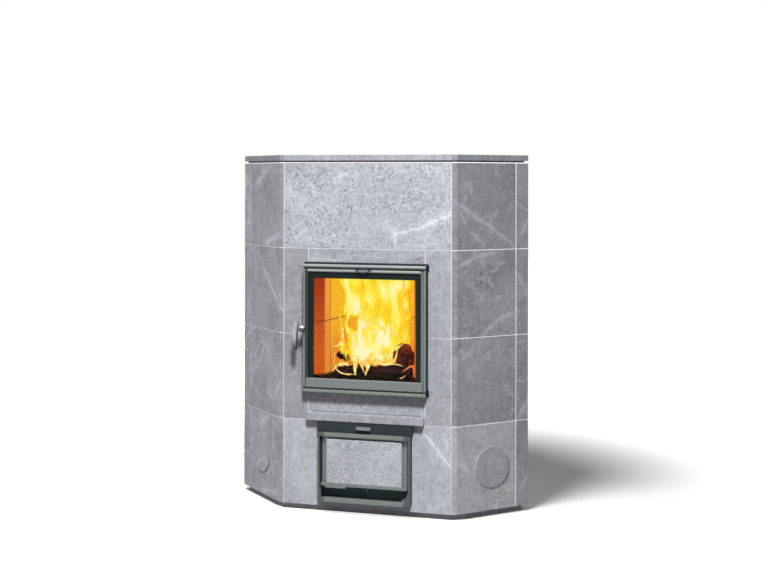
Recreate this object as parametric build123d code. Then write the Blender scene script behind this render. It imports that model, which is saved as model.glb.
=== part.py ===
from build123d import *
import os
from math import radians, sin

os.makedirs("parts", exist_ok=True)

# Sizes that set the whole heater, in millimetres
# The floor is z = 0, the front looks towards -Y and the heater is even about x = 0
plinth_height = 21
plinth_inset = 16
course_count = 4
lintel_course_count = 3
joint = 3
mortar_set_back = 0.8
stone_thick = 55
front_width = 600
front_y = -310
bevel = 10
angled_run = 308
back_panel_thick = 52.5
back_flat = 260
corner_angle = 45
neck_height = 6
neck_inset = 10
slab_thick = 20
slab_edge_round = 2

# Clearances that several pieces share
running_gap = 0.3
pin_gap = 0.3
slide_gap = 0.5
cut_reach = 80

# Small tools for shapes
LOW = (Align.MIN, Align.MIN, Align.MIN)
ON_BASE = (Align.CENTER, Align.CENTER, Align.MIN)
lean = sin(radians(corner_angle))
half_share = 0.5


def block(x_from, x_to, y_from, y_to, z_from, z_to):
    solid = Box(x_to - x_from, y_to - y_from, z_to - z_from, align=LOW)
    return Pos(x_from, y_from, z_from) * solid


def even_block(half_width, y_from, y_to, z_from, z_to):
    return block(-half_width, half_width, y_from, y_to, z_from, z_to)


def prism(points, z_from, z_to):
    outline = make_face(Polyline(*points, close=True))
    return Pos(0, 0, z_from) * extrude(outline, amount=z_to - z_from)


def mirrored(side, points):
    return [(side * x, y) for x, y in points]


def rod_along_x(radius, x_from, x_to, y, z):
    rod = Cylinder(radius, x_to - x_from, align=ON_BASE)
    return Pos(x_from, y, z) * Rot(Y=quarter_turn) * rod


def rod_along_y(radius, x, y_from, y_to, z):
    rod = Cylinder(radius, y_to - y_from, align=ON_BASE)
    return Pos(x, y_from, z) * Rot(X=-quarter_turn) * rod


def rod_along_z(radius, x, y, z_from, z_to):
    rod = Cylinder(radius, z_to - z_from, align=ON_BASE)
    return Pos(x, y, z_from) * rod


def ahead(distance):
    return front_y - distance


def behind(distance):
    return front_y + distance


def save(name, *solids):
    shape = solids[0] if len(solids) == 1 else Compound(children=list(solids))
    export_step(shape, "parts/" + name + ".step")


quarter_turn = 90
SIDES = ((-1, "left"), (1, "right"))

# Outlines of the fire door and its fixed frame, which set the upper opening and, with the
# lintel on it, the height of the courses
door_half = 218
door_bottom = 420
door_height = 443
door_top = door_bottom + door_height
flange_side = 5
flange_foot = 5
flange_head = 6
flange_half = door_half + flange_side
flange_bottom = door_bottom - flange_foot
flange_top = door_top + flange_head
flange_lap_side = 14
flange_lap_foot = 17
flange_lap_head = 18
door_joint_x = flange_half - flange_lap_side
door_opening_bottom = flange_bottom + flange_lap_foot
door_opening_top = flange_top - flange_lap_head
lintel_height = 64
course_stack = door_opening_top + lintel_height - plinth_height
course_height = (course_stack + joint) / lintel_course_count - joint

# Plan of the stone mantle: a front wall, two walls turned by 45 degrees and two back walls
half_joint = joint * half_share
half_front = front_width * half_share
corner_x = half_front + half_joint + bevel
plug_wall_end = angled_run - back_panel_thick
half_back_flat = back_flat * half_share


def on_wall(side, along, inward):
    # A place on an angled wall: along it from the sharp front corner, and in from its face
    x = corner_x + lean * (along - inward)
    y = front_y + lean * (along + inward)
    return (side * x, y)


outer_x, outer_y = on_wall(1, angled_run, 0)
back_wall_run = (outer_x - half_back_flat) / lean
back_y = outer_y + lean * back_wall_run


def course_base(number):
    return plinth_height + number * (course_height + joint)


def course_top(number):
    return course_base(number) + course_height


stone_top = course_top(course_count - 1)


right_plan = [
    (half_front + half_joint, front_y),
    on_wall(1, bevel, 0),
    (outer_x, outer_y),
    (half_back_flat, back_y),
]
plan = make_face(Polyline(*right_plan, *[(-x, y) for x, y in reversed(right_plan)], close=True))


def mantle_slab(inset, z_from, z_to):
    # A slab with the outline of the whole heater, moved in by an inset
    outline = offset(plan, amount=-inset, kind=Kind.INTERSECTION) if inset else plan
    return Pos(0, 0, z_from) * extrude(outline, amount=z_to - z_from)


# Plinth that carries every stone
save("plinth", mantle_slab(plinth_inset, 0, plinth_height))

# Outline of the ash frame, which sets the lower opening
ring_half = 162
ring_height = 239
ring_side_gap = 2
ash_opening_half = ring_half + ring_side_gap
base_strip_height = 22
shelf_z = course_base(1)
shelf_height = 27
shelf_ahead = 25
shelf_edge_round = 2
sill_z = shelf_z + shelf_height + joint
jamb_inner_x = door_joint_x + half_joint
infill_half = door_joint_x - half_joint
stone_back_y = behind(stone_thick)
wall_stone_x = half_front - half_joint
base_top = course_top(0)
door_rows = range(1, lintel_course_count)

for side, side_name in SIDES:
    near = side * ash_opening_half
    far = side * wall_stone_x
    base_stone = block(min(near, far), max(near, far), front_y, stone_back_y,
                       course_base(0), base_top)
    save("base_stone_" + side_name, base_stone)
    near = side * jamb_inner_x
    jambs = [block(min(near, far), max(near, far), front_y, stone_back_y,
                   course_base(row), course_top(row)) for row in door_rows]
    save("jamb_stones_" + side_name, *jambs)

base_strip_top = plinth_height + base_strip_height
base_strip = even_block(ash_opening_half, front_y, stone_back_y, plinth_height, base_strip_top)
save("base_strip", base_strip)

shelf = even_block(infill_half, ahead(shelf_ahead), stone_back_y, shelf_z, shelf_z + shelf_height)
shelf_edges = shelf.edges().filter_by(Axis.X).group_by(Axis.Y)[0]
save("hearth_shelf", fillet(shelf_edges, shelf_edge_round))

save("sill_stone", even_block(infill_half, front_y, stone_back_y, sill_z, door_opening_bottom))
save("lintel_stone", even_block(infill_half, front_y, stone_back_y, door_opening_top,
                                door_opening_top + lintel_height))
save("top_front_stone", even_block(wall_stone_x, front_y, stone_back_y, course_base(course_count - 1),
                                   stone_top))

# Stones of the two angled walls, the lowest ones bored for the cleaning plugs
plug_radius = 70
plug_bore_radius = 60
plug_proud = 6
plug_along = 152
plug_z = plinth_height + course_height * half_share
angled_stone_end = plug_wall_end - half_joint
angled_start_x = half_front + half_joint
inner_start_along = stone_thick - bevel / lean


def wall_rod(side, radius, out_from, out_to):
    # A round bar square to an angled wall, from one distance outside its face to another
    x, y = on_wall(side, plug_along, -out_from)
    turn = Rot(Z=side * corner_angle) * Rot(X=quarter_turn)
    return Pos(x, y, plug_z) * turn * Cylinder(radius, out_to - out_from, align=ON_BASE)


angled_points = [
    (angled_start_x, front_y),
    on_wall(1, bevel, 0),
    on_wall(1, angled_stone_end, 0),
    on_wall(1, angled_stone_end, stone_thick),
    on_wall(1, inner_start_along, stone_thick),
]
for side, side_name in SIDES:
    outline = mirrored(side, angled_points)
    for row in range(course_count):
        stone = prism(outline, course_base(row), course_top(row))
        if row == 0:
            stone -= wall_rod(side, plug_bore_radius, -cut_reach, cut_reach)
        save("angled_stone_" + side_name + "_" + str(row + 1), stone)

# Back walls: a pile of equal stones on each side and a keystone column between them
back_stone_start = plug_wall_end + half_joint
back_stone_run = back_wall_run - half_joint
flue_radius = 75
flue_wall = 3
flue_ahead = 50
flue_z = plug_z
flue_hole_radius = flue_radius + flue_wall + running_gap
back_points = [
    on_wall(1, angled_run, 0),
    on_wall(1, angled_run, back_stone_run),
    on_wall(1, back_stone_start, back_stone_run),
    on_wall(1, back_stone_start, 0),
]
for side, side_name in SIDES:
    outline = mirrored(side, back_points)
    pile = [prism(outline, course_base(row), course_top(row)) for row in range(course_count)]
    save("back_stones_" + side_name, *pile)

keystone_outer = on_wall(1, angled_run - half_joint, back_wall_run + half_joint)
keystone_inner = on_wall(1, back_stone_start, back_wall_run + half_joint)
keystone_half = [keystone_outer, keystone_inner]
keystone_points = keystone_half + [(-x, y) for x, y in reversed(keystone_half)]
keystones = [prism(keystone_points, course_base(row), course_top(row))
             for row in range(course_count)]
flue_cut = rod_along_y(flue_hole_radius, 0, back_y - cut_reach, back_y + cut_reach, flue_z)
save("flue_keystone", keystones[0] - flue_cut)
save("back_keystones", *keystones[1:])

# Mortar in every joint of the mantle, one light lattice set back a little from the faces
mortar_y = behind(mortar_set_back)


def joint_post(side, points, z_from, z_to):
    return prism(mirrored(side, points), z_from, z_to)


front_post = [
    (wall_stone_x, mortar_y),
    (angled_start_x, mortar_y),
    (angled_start_x, stone_back_y),
    (wall_stone_x, stone_back_y),
]
angled_post = [
    on_wall(1, angled_stone_end, mortar_set_back),
    on_wall(1, back_stone_start, mortar_set_back),
    on_wall(1, back_stone_start, stone_thick),
    on_wall(1, angled_stone_end, stone_thick),
]
back_post_end = angled_run - half_joint - mortar_set_back
back_post = [
    on_wall(1, back_post_end, back_stone_run),
    on_wall(1, back_post_end, back_wall_run + half_joint),
    keystone_inner,
    on_wall(1, back_stone_start, back_stone_run),
]
door_post = [
    (infill_half, mortar_y),
    (jamb_inner_x, mortar_y),
    (jamb_inner_x, stone_back_y),
    (infill_half, stone_back_y),
]

inner_turn = on_wall(1, inner_start_along, stone_thick)
inner_outline = [
    (angled_start_x, stone_back_y),
    inner_turn,
    on_wall(1, back_stone_start, stone_thick),
    keystone_inner,
]
inner_points = inner_outline + [(-x, y) for x, y in reversed(inner_outline)]

mortar = None
for row in range(1, course_count + 1):
    bed_base = course_top(row - 1)
    bed_top = course_base(row)
    bed = mantle_slab(mortar_set_back, bed_base, bed_top)
    bed -= prism(inner_points, bed_base, bed_top)
    if row == 1:
        bed -= even_block(ash_opening_half, ahead(cut_reach), behind(cut_reach),
                          bed_base, bed_top)
    if row == lintel_course_count - 1:
        bed -= even_block(jamb_inner_x, ahead(cut_reach), behind(cut_reach),
                          bed_base, bed_top)
    mortar = bed if mortar is None else mortar + bed
for side, side_name in SIDES:
    for points in (front_post, angled_post, back_post):
        for row in range(course_count):
            mortar += joint_post(side, points, course_base(row), course_top(row))
    mortar += joint_post(side, door_post, shelf_z, door_opening_bottom)
    mortar += joint_post(side, door_post, door_opening_top,
                         door_opening_top + lintel_height)
mortar += even_block(infill_half, mortar_y, stone_back_y, sill_z - joint, sill_z)
save("mortar_joints", mortar)

# Narrow neck on the last mortar bed, and the top slab
neck_base = stone_top + joint
neck_top = neck_base + neck_height
save("slab_neck", mantle_slab(neck_inset, neck_base, neck_top))
slab = mantle_slab(0, neck_top, neck_top + slab_thick)
save("top_slab", fillet(slab.edges().group_by(Axis.Z)[-1], slab_edge_round))

# Cleaning plugs: a stone disc on a sheet-steel cup that fills the bore
cup_gap = 1
cup_radius = plug_bore_radius - cup_gap
cup_wall = 2
cup_depth = 45
disc_round = 1.5
for side, side_name in SIDES:
    disc = wall_rod(side, plug_radius, running_gap, plug_proud)
    rim = disc.edges().filter_by(GeomType.CIRCLE)
    save("cleaning_plug_" + side_name, fillet(rim, disc_round))
    cup = wall_rod(side, cup_radius, -cup_depth, running_gap)
    cup -= wall_rod(side, cup_radius - cup_wall, -cup_depth - cup_wall, running_gap - cup_wall)
    save("plug_cup_" + side_name, cup)

# Fixed frame of the fire door, with a collar into the opening, two hinge lugs and a latch ledge
flange_thick = 6
leaf_border_side = 30
leaf_border_foot = 42
leaf_border_head = 34
leaf_inner_half = door_half - leaf_border_side
leaf_inner_bottom = door_bottom + leaf_border_foot
leaf_inner_top = door_top - leaf_border_head
fire_gap_side = 4
fire_gap_foot = 10
fire_gap_head = 7
fire_opening_half = leaf_inner_half + fire_gap_side
fire_opening_bottom = leaf_inner_bottom - fire_gap_foot
fire_opening_top = leaf_inner_top + fire_gap_head
collar_wall = 8
collar_depth = 12
hinge_inset = 6
hinge_x = door_half - hinge_inset
hinge_ahead = 16
lug_radius = 8
lug_height = 14
lug_web = 10
flange_edge_chamfer = 1.5
flange_corner_round = 6
flange_relief = 3.5
hinge_pad_height = 24
ledge_width = 4
ledge_x = flange_half - ledge_width
ledge_height = 5
ledge_ahead = 13
handle_height = 221
tongue_z = door_bottom + handle_height
tongue_height = 6

flange = even_block(flange_half, ahead(flange_thick), front_y, flange_bottom, flange_top)
flange = fillet(flange.edges().filter_by(Axis.Y), flange_corner_round)
flange = chamfer(flange.faces().sort_by(Axis.Y)[0].edges(), flange_edge_chamfer)
collar = even_block(fire_opening_half + collar_wall, front_y, behind(collar_depth),
                    fire_opening_bottom - collar_wall, fire_opening_top + collar_wall)
flange -= block(flange_half - flange_relief, flange_half + flange_relief, ahead(cut_reach),
                front_y, flange_bottom + hinge_pad_height, flange_top - hinge_pad_height)
frame = flange + collar
frame -= even_block(fire_opening_half, ahead(cut_reach), behind(cut_reach),
                    fire_opening_bottom, fire_opening_top)
lug_bases = (door_bottom, door_top - lug_height)
for lug_z in lug_bases:
    frame += rod_along_z(lug_radius, hinge_x, ahead(hinge_ahead), lug_z, lug_z + lug_height)
    frame += block(hinge_x - lug_web * half_share, hinge_x + lug_web * half_share,
                   ahead(hinge_ahead), ahead(flange_thick), lug_z, lug_z + lug_height)
tongue_bottom = tongue_z - tongue_height * half_share
ledge = block(-ledge_x - ledge_width, -ledge_x, ahead(ledge_ahead), ahead(flange_thick),
              tongue_bottom - running_gap - ledge_height, tongue_bottom - running_gap)
hinge_pin_radius = 3
hinge_pin_reach = 18
pin_bottoms = (door_bottom, door_top - lug_height - hinge_pin_reach)
pins = [rod_along_z(hinge_pin_radius, hinge_x, ahead(hinge_ahead), pin_z,
                    pin_z + lug_height + hinge_pin_reach) for pin_z in pin_bottoms]
for pin in pins:
    frame -= pin
save("door_fixed_frame", frame, ledge)
save("door_hinge_pins", *pins)

# Door leaf: one casting with four raised bars round the glass, the top and bottom bars
# running the full width, and a rebate for the glass
leaf_back = 7
leaf_base_front = 30
leaf_front = 36
bead_side = 7.5
bead_top = 10
bead_bottom = 11
bead_round = 2.4
rebate_ahead = 22
rebate_side = 19
rebate_foot = 14
rebate_head = 17
rebate_half = leaf_inner_half + rebate_side
rebate_bottom = leaf_inner_bottom - rebate_foot
rebate_top = leaf_inner_top + rebate_head
hinge_edge_chamfer = 5
lug_gap = 0.5
rope_side = 6
rope_foot = 20
rope_inner_half = leaf_inner_half + rope_side
rope_width = 8
rope_bottom = leaf_inner_bottom - rope_foot
rope_top = rebate_top
rope_groove_depth = 7
handle_inset = 1
handle_x = handle_inset - door_half
handle_z = tongue_z
boss_radius = 5.4
boss_ahead = 38
spindle_radius = 3.5
pocket_depth = 7
pocket_reach = 11
pocket_right = handle_x + pocket_reach
pocket_height = 28
vent_width = 34
vent_height = 3
vent_count = 3
vent_pitch = 46
slide_gap_below = 1.5
slide_z = rebate_top + slide_gap_below
slide_height = 4.5
rail_lap_foot = 11
side_bar_bottom = rebate_bottom - rail_lap_foot
side_bar_top = slide_z

leaf = even_block(door_half, ahead(leaf_base_front), ahead(leaf_back), door_bottom, door_top)
hinge_edge = leaf.edges().filter_by(Axis.Z).filter_by(
    lambda edge: edge.center().X > 0 and edge.center().Y > ahead(hinge_ahead))
leaf = chamfer(hinge_edge, hinge_edge_chamfer)
bar_spans = [
    (-door_half, door_half, door_top - bead_top, door_top),
    (-door_half, door_half, door_bottom, door_bottom + bead_bottom),
    (-door_half, bead_side - door_half, side_bar_bottom, side_bar_top),
    (door_half - bead_side, door_half, side_bar_bottom, side_bar_top),
]
for bar_left, bar_right, bar_low, bar_high in bar_spans:
    bar = block(bar_left, bar_right, ahead(leaf_front), ahead(leaf_base_front), bar_low, bar_high)
    leaf += fillet(bar.faces().sort_by(Axis.Y)[0].edges(), bead_round)
leaf -= even_block(rebate_half, ahead(leaf_base_front), ahead(rebate_ahead),
                   rebate_bottom, rebate_top)
leaf -= even_block(leaf_inner_half, ahead(cut_reach), behind(cut_reach),
                   leaf_inner_bottom, leaf_inner_top)
rope_ring = even_block(rope_inner_half + rope_width, ahead(leaf_back + rope_groove_depth),
                       ahead(leaf_back), rope_bottom, rope_top)
rope_ring -= even_block(rope_inner_half, ahead(cut_reach), behind(cut_reach),
                        rope_bottom + rope_width, rope_top - rope_width)
leaf -= rope_ring
boss = rod_along_y(boss_radius, handle_x, ahead(boss_ahead), ahead(leaf_back + pocket_depth),
                   handle_z)
leaf += boss
leaf -= block(-door_half - lug_gap, pocket_right, ahead(leaf_back + pocket_depth),
              ahead(leaf_back), handle_z - pocket_height * half_share,
              handle_z + pocket_height * half_share)
leaf -= rod_along_y(spindle_radius + pin_gap, handle_x, ahead(cut_reach), front_y, handle_z)
notch_inner = hinge_x - lug_radius - lug_gap
notch_ahead = hinge_ahead + lug_radius + lug_gap
for lug_z in lug_bases:
    notch_low = lug_z - lug_gap if lug_z > door_bottom else lug_z - lug_height
    notch_high = lug_z + lug_height + lug_gap if lug_z == door_bottom else door_top + lug_height
    leaf -= block(notch_inner, door_half + lug_radius, ahead(notch_ahead), front_y,
                  notch_low, notch_high)
for pin_z in pin_bottoms:
    leaf -= rod_along_z(hinge_pin_radius + pin_gap, hinge_x, ahead(hinge_ahead),
                        pin_z - running_gap, pin_z + lug_height + hinge_pin_reach + running_gap)
for number in range(vent_count):
    vent_x = (number - (vent_count - 1) * half_share) * vent_pitch
    vent_left = vent_x - vent_width * half_share
    leaf -= block(vent_left, vent_left + vent_width, ahead(cut_reach), front_y,
                  slide_z + running_gap, slide_z + running_gap + vent_height)
save("door_leaf", leaf)

# Rope seal on the back of the leaf
rope_gap = 0.1
rope_ahead = flange_thick + rope_gap
rope = even_block(rope_inner_half + rope_width, ahead(leaf_back + rope_groove_depth),
                  ahead(rope_ahead), rope_bottom, rope_top)
rope -= even_block(rope_inner_half, ahead(cut_reach), behind(cut_reach),
                   rope_bottom + rope_width, rope_top - rope_width)
save("door_rope_seal", rope)

# Glass pane on a flat tape seal
tape_thick = 2.5
tape_width = 14
glass_thick = 4
glass_edge_gap = 1
glass_top_gap = 3
glass_half = rebate_half - glass_edge_gap
glass_bottom = rebate_bottom + glass_edge_gap
glass_top = rebate_top - glass_top_gap
glass_back = rebate_ahead + tape_thick
glass_front = glass_back + glass_thick
tape = even_block(glass_half, ahead(glass_back), ahead(rebate_ahead), glass_bottom, glass_top)
tape -= even_block(glass_half - tape_width, ahead(cut_reach), front_y,
                   leaf_inner_bottom - slide_gap, leaf_inner_top + slide_gap)
save("glass_tape_seal", tape)
save("door_glass", even_block(glass_half, ahead(glass_front), ahead(glass_back), glass_bottom,
                              glass_top))

# Trim strips that hold the glass: two side strips and a top strip in one frame
trim_lap = 2.5
trim_width = 8.5
trim_height = 9
trim_foot = 20
trim_outer = rebate_half + trim_lap
trim_inner = trim_outer - trim_width
trim_bottom = rebate_bottom + trim_foot
trim_top = rebate_top
trim_top_inner = trim_top - trim_height
trim_front = 35
trim_round = 1.2
strip_drop = 5
strip_slope = 4
strip_slope_width = 6
strip_top = trim_top - strip_drop

trim = even_block(glass_half, ahead(leaf_base_front), ahead(glass_front), trim_bottom, glass_top)
trim -= even_block(trim_inner, ahead(cut_reach), front_y, trim_bottom - joint, trim_top_inner)
top_strip = even_block(trim_inner, ahead(trim_front), ahead(leaf_base_front), trim_top_inner,
                       trim_top)
trim += fillet(top_strip.faces().sort_by(Axis.Y)[0].edges(), trim_round)
for side, side_name in SIDES:
    near = side * trim_inner
    far = side * trim_outer
    strip = block(min(near, far), max(near, far), ahead(trim_front), ahead(leaf_base_front),
                  trim_bottom, strip_top)
    inner_edge = strip.faces().sort_by(Axis.Y)[0].edges().filter_by(Axis.Z).sort_by(
        lambda edge: abs(edge.center().X))[0]
    strip_face = strip.faces().sort_by(Axis.Y)[0]
    trim += chamfer(inner_edge, strip_slope_width, strip_slope, reference=strip_face)
save("door_trim", trim)

# Lower rail across the foot of the glass
rail_lap_side = 1
rail_bottom = rebate_bottom - rail_lap_foot
rail_half = rebate_half + rail_lap_side
rail = even_block(rail_half, ahead(trim_front), ahead(leaf_base_front), rail_bottom, trim_bottom)
rail = fillet(rail.faces().sort_by(Axis.Y)[0].edges(), trim_round)
rail += even_block(glass_half, ahead(leaf_base_front), ahead(glass_front), glass_bottom,
                   trim_bottom)
save("door_lower_rail", rail)

# Air slide in the groove above the trim, with a half-moon finger tab that leans out
slide_half = 82
slide_thick = 2.5
slide_back = leaf_base_front + running_gap
tab_half = 29
tab_drop = 14
tab_thick = 2.5
tab_lean = 35
tab_back = trim_front + slide_gap
tab_radius = (tab_half * tab_half / tab_drop + tab_drop) * half_share
tab_top = trim_top
tab_centre_z = tab_top - tab_drop + tab_radius
slide = even_block(slide_half, ahead(slide_back + slide_thick), ahead(slide_back), slide_z,
                   slide_z + slide_height)
tab_front = tab_back + tab_thick
slide += even_block(tab_half * half_share, ahead(tab_front), ahead(slide_back), slide_z,
                    slide_z + slide_height)
tab_plate = rod_along_y(tab_radius, 0, ahead(tab_front), ahead(tab_back), tab_centre_z)
tab_plate &= even_block(tab_half, ahead(tab_front), ahead(tab_back), tab_top - tab_drop, tab_top)
tab_fold = Pos(0, ahead(tab_back), tab_top)
slide += tab_fold * Rot(X=-tab_lean) * tab_fold.inverse() * tab_plate
slide += even_block(tab_half * half_share, ahead(tab_front), ahead(tab_back), tab_top,
                    slide_z + slide_height)
save("door_air_slide", slide)

# Door handle: a ball on the spindle, a short arm and a hanging lever, bowed and tapered
ball_radius = 11.5
ball_ahead = 49
lever_width = 18
lever_taper = 4
lever_thick = 10
lever_set_off = 17.5
lever_lean = 1.3
lever_above = 23
lever_below = 75
lever_x = handle_x - lever_set_off
lever_top = handle_z + lever_above
lever_bottom = handle_z - lever_below
lever_ahead = 53
lever_tip_ahead = 56
lever_round = 3.6
arm_radius = 5
ball = Pos(handle_x, ahead(ball_ahead), handle_z) * Sphere(ball_radius)
half_lever = lever_thick * half_share
lever_mid = (lever_top + lever_bottom) * half_share
lever_bow = 9
front_line = ThreePointArc((ahead(lever_ahead + half_lever), lever_top),
                           (ahead(lever_ahead + half_lever + lever_bow), lever_mid),
                           (ahead(lever_tip_ahead + half_lever), lever_bottom))
back_line = ThreePointArc((ahead(lever_ahead - half_lever), lever_top),
                          (ahead(lever_ahead - half_lever + lever_bow), lever_mid),
                          (ahead(lever_tip_ahead - half_lever), lever_bottom))
end_top = Line(front_line @ 0, back_line @ 0)
end_bottom = Line(front_line @ 1, back_line @ 1)
lever_face = make_face([front_line, end_bottom, back_line, end_top])
lever = extrude(Plane.YZ * lever_face, amount=lever_width)
lever = Pos(lever_x - lever_width * half_share, 0, 0) * lever
lever_right = lever_x + lever_width * half_share
taper_cut = make_face(Polyline(
    (lever_right, lever_top),
    (lever_right + lever_taper, lever_bottom),
    (lever_right - lever_taper, lever_bottom),
    close=True))
lever -= Pos(0, front_y, 0) * extrude(Plane.XZ * taper_cut, amount=cut_reach)
lever = fillet(lever.edges(), lever_round)
lever_hang = Pos(lever_x, 0, lever_top)
lever = lever_hang * Rot(Y=lever_lean) * lever_hang.inverse() * lever
arm = rod_along_x(arm_radius, lever_x, handle_x, ahead(ball_ahead + half_lever), handle_z)
handle = ball + arm + lever
handle_bore = rod_along_y(spindle_radius, handle_x, ahead(ball_ahead), front_y, handle_z)
handle -= handle_bore
save("door_handle", handle)

# Spindle through the leaf, with the latch tongue that rests on the frame's ledge
tongue_gap = 1
tongue_back = leaf_back + tongue_gap
tongue_front = leaf_back + pocket_depth - tongue_gap
tongue_reach = 7.5
tongue_tip = handle_x - tongue_reach
hub_radius = 3
spindle = rod_along_y(spindle_radius, handle_x, ahead(ball_ahead), ahead(tongue_front), handle_z)
spindle += rod_along_y(hub_radius, handle_x, ahead(tongue_front), ahead(tongue_back), handle_z)
spindle += block(tongue_tip, handle_x, ahead(tongue_front), ahead(tongue_back),
                 tongue_bottom, tongue_bottom + tongue_height)
save("latch_spindle", spindle)

# Ash unit: an open frame let into the base course
ring_side = 5
ring_ahead = 34
ring_bar_depth = 14
ring_behind = stone_thick
ring_bottom = base_strip_top
ring_top = ring_bottom + ring_height
ring_plate = 5
top_bar_height = 13.5
bottom_bar_height = 16
bar_round = 2
leaf_pin_height = 59
leaf_pin_z = ring_bottom + leaf_pin_height
leaf_pin_ahead = 12
leaf_pin_radius = 2.5
leaf_pin_reach = 12

bar_proud = 1
ring = even_block(ring_half, ahead(ring_ahead - bar_proud), behind(ring_behind), ring_bottom,
                  ring_top)
ring -= even_block(ring_half - ring_side, ahead(cut_reach), behind(cut_reach),
                   ring_bottom + ring_plate, ring_top - ring_plate)
top_bar = even_block(ring_half, ahead(ring_ahead), ahead(ring_ahead - ring_bar_depth),
                     ring_top - top_bar_height, ring_top)
bottom_bar = even_block(ring_half, ahead(ring_ahead), ahead(ring_ahead - ring_bar_depth),
                        ring_bottom, ring_bottom + bottom_bar_height)
ring += fillet(top_bar.faces().sort_by(Axis.Y)[0].edges().filter_by(Axis.X), bar_round)
ring += fillet(bottom_bar.faces().sort_by(Axis.Y)[0].edges().filter_by(Axis.X), bar_round)
leaf_pins = []
for side, side_name in SIDES:
    ends = (side * (ring_half - leaf_pin_reach - ring_side * half_share), side * ring_half)
    pin = rod_along_x(leaf_pin_radius, min(ends), max(ends), ahead(leaf_pin_ahead), leaf_pin_z)
    leaf_pins.append(pin)
    ring -= pin
save("ash_leaf_pins", *leaf_pins)
guide_half = 100
guide_ahead = 17
guide_back = 9
guide_height = 10
damper_back = 12
damper_front = 14
damper_height = 26
knob_z = 302
damper_bottom = knob_z - damper_height * half_share
ring += even_block(guide_half, ahead(guide_ahead), ahead(guide_back), ring_top - ring_plate,
                   ring_top + guide_height)
ring -= even_block(guide_half, ahead(damper_front + slide_gap), ahead(damper_back - slide_gap),
                   damper_bottom - running_gap, ring_top + guide_height)
save("ash_frame", ring)

# Sheet gussets in the lower corners of the frame
gusset_thick = 2
gusset_ahead = ring_ahead - bar_proud
gusset_width = 20
gusset_height = 33
gusset_strip = 5
gusset_base = ring_bottom + bottom_bar_height
gusset_x = ring_half - ring_side
gusset_plate = block(gusset_x - gusset_width, gusset_x, ahead(gusset_ahead),
                     ahead(gusset_ahead - gusset_thick), gusset_base,
                     gusset_base + gusset_height)
hollow_radius = 24
hollow = rod_along_y(hollow_radius, gusset_x - gusset_width - gusset_strip, ahead(stone_thick),
                     front_y, gusset_base + gusset_height)
gusset_strip_left = block(-gusset_x, -gusset_x + gusset_strip, ahead(gusset_ahead),
                          ahead(gusset_ahead - gusset_thick), gusset_base,
                          gusset_base + gusset_height)
save("ash_frame_gussets", gusset_plate - hollow, gusset_strip_left)

# Dark cover above the frame, slotted for the air regulator
cover_lap = 6
cover_half = ring_half + cover_lap
cover_ahead = 22
cover_sheet = 2
cover_top = shelf_z
knob_half = 26
knob_height = 12
knob_back = 27
knob_front = 37
knob_round = 2
stem_half = 10
stem_height = 5
slot_half = 25
damper_half = 60
window_count = 3
window_width = 26
window_height = 12
window_pitch = 40

cover = even_block(cover_half, ahead(cover_ahead), front_y, ring_top, cover_top)
cover -= even_block(cover_half - cover_sheet, ahead(cover_ahead - cover_sheet),
                    behind(cut_reach), ring_top - cover_sheet, cover_top - cover_sheet)
cover -= even_block(slot_half, ahead(cut_reach), ahead(damper_front),
                    knob_z - stem_height * half_share - slide_gap,
                    knob_z + stem_height * half_share + slide_gap)
save("ash_cover", cover)

# Air regulator: a small bar knob on a stem, with a windowed damper behind the cover
knob = even_block(knob_half, ahead(knob_front), ahead(knob_back),
                  knob_z - knob_height * half_share, knob_z + knob_height * half_share)
knob = fillet(knob.edges(), knob_round)
regulator = knob + even_block(stem_half, ahead(knob_back + knob_round), ahead(damper_back),
                              knob_z - stem_height * half_share,
                              knob_z + stem_height * half_share)
damper = even_block(damper_half, ahead(damper_front), ahead(damper_back),
                    knob_z - damper_height * half_share, knob_z + damper_height * half_share)
for number in range(window_count):
    window_x = (number - (window_count - 1) * half_share) * window_pitch
    window_left = window_x - window_width * half_share
    if number != 1:
        damper -= block(window_left, window_left + window_width, ahead(cut_reach), front_y,
                        knob_z - window_height * half_share, knob_z + window_height * half_share)
save("air_regulator", regulator + damper)

# Ash leaf: a steel plate with folded side rails, a lip and two hinge ears
ash_leaf_gap = 6
ash_leaf_head_gap = 17
ash_leaf_foot = 6
ash_leaf_half = ring_half - ring_side - ash_leaf_gap
ash_leaf_back = 10
ash_leaf_front = 14
ash_leaf_bottom = leaf_pin_z - ash_leaf_foot
ash_leaf_top = ring_top - ash_leaf_head_gap
rail_fold = 2
rail_fold_ahead = 18
lip_front = 30
lip_drop = 4.5
lip_height = 10.5
lip_bottom = leaf_pin_z - lip_drop
panel_bottom = lip_bottom + lip_height
panel_side = 17
panel_head = 5.5
panel_half = ash_leaf_half - panel_side
panel_top = ash_leaf_top - panel_head
panel_front = 28
grip_inset = 15
grip_length = 72
grip_height = 10
grip_left = grip_inset - ash_leaf_half
grip_right = grip_left + grip_length
grip_drop = 9
grip_bottom = leaf_pin_z - grip_drop
grip_front = 33
grip_top = grip_bottom + grip_height
lip_round = 1.5
ear_radius = 6
ear_width = 8

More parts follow.
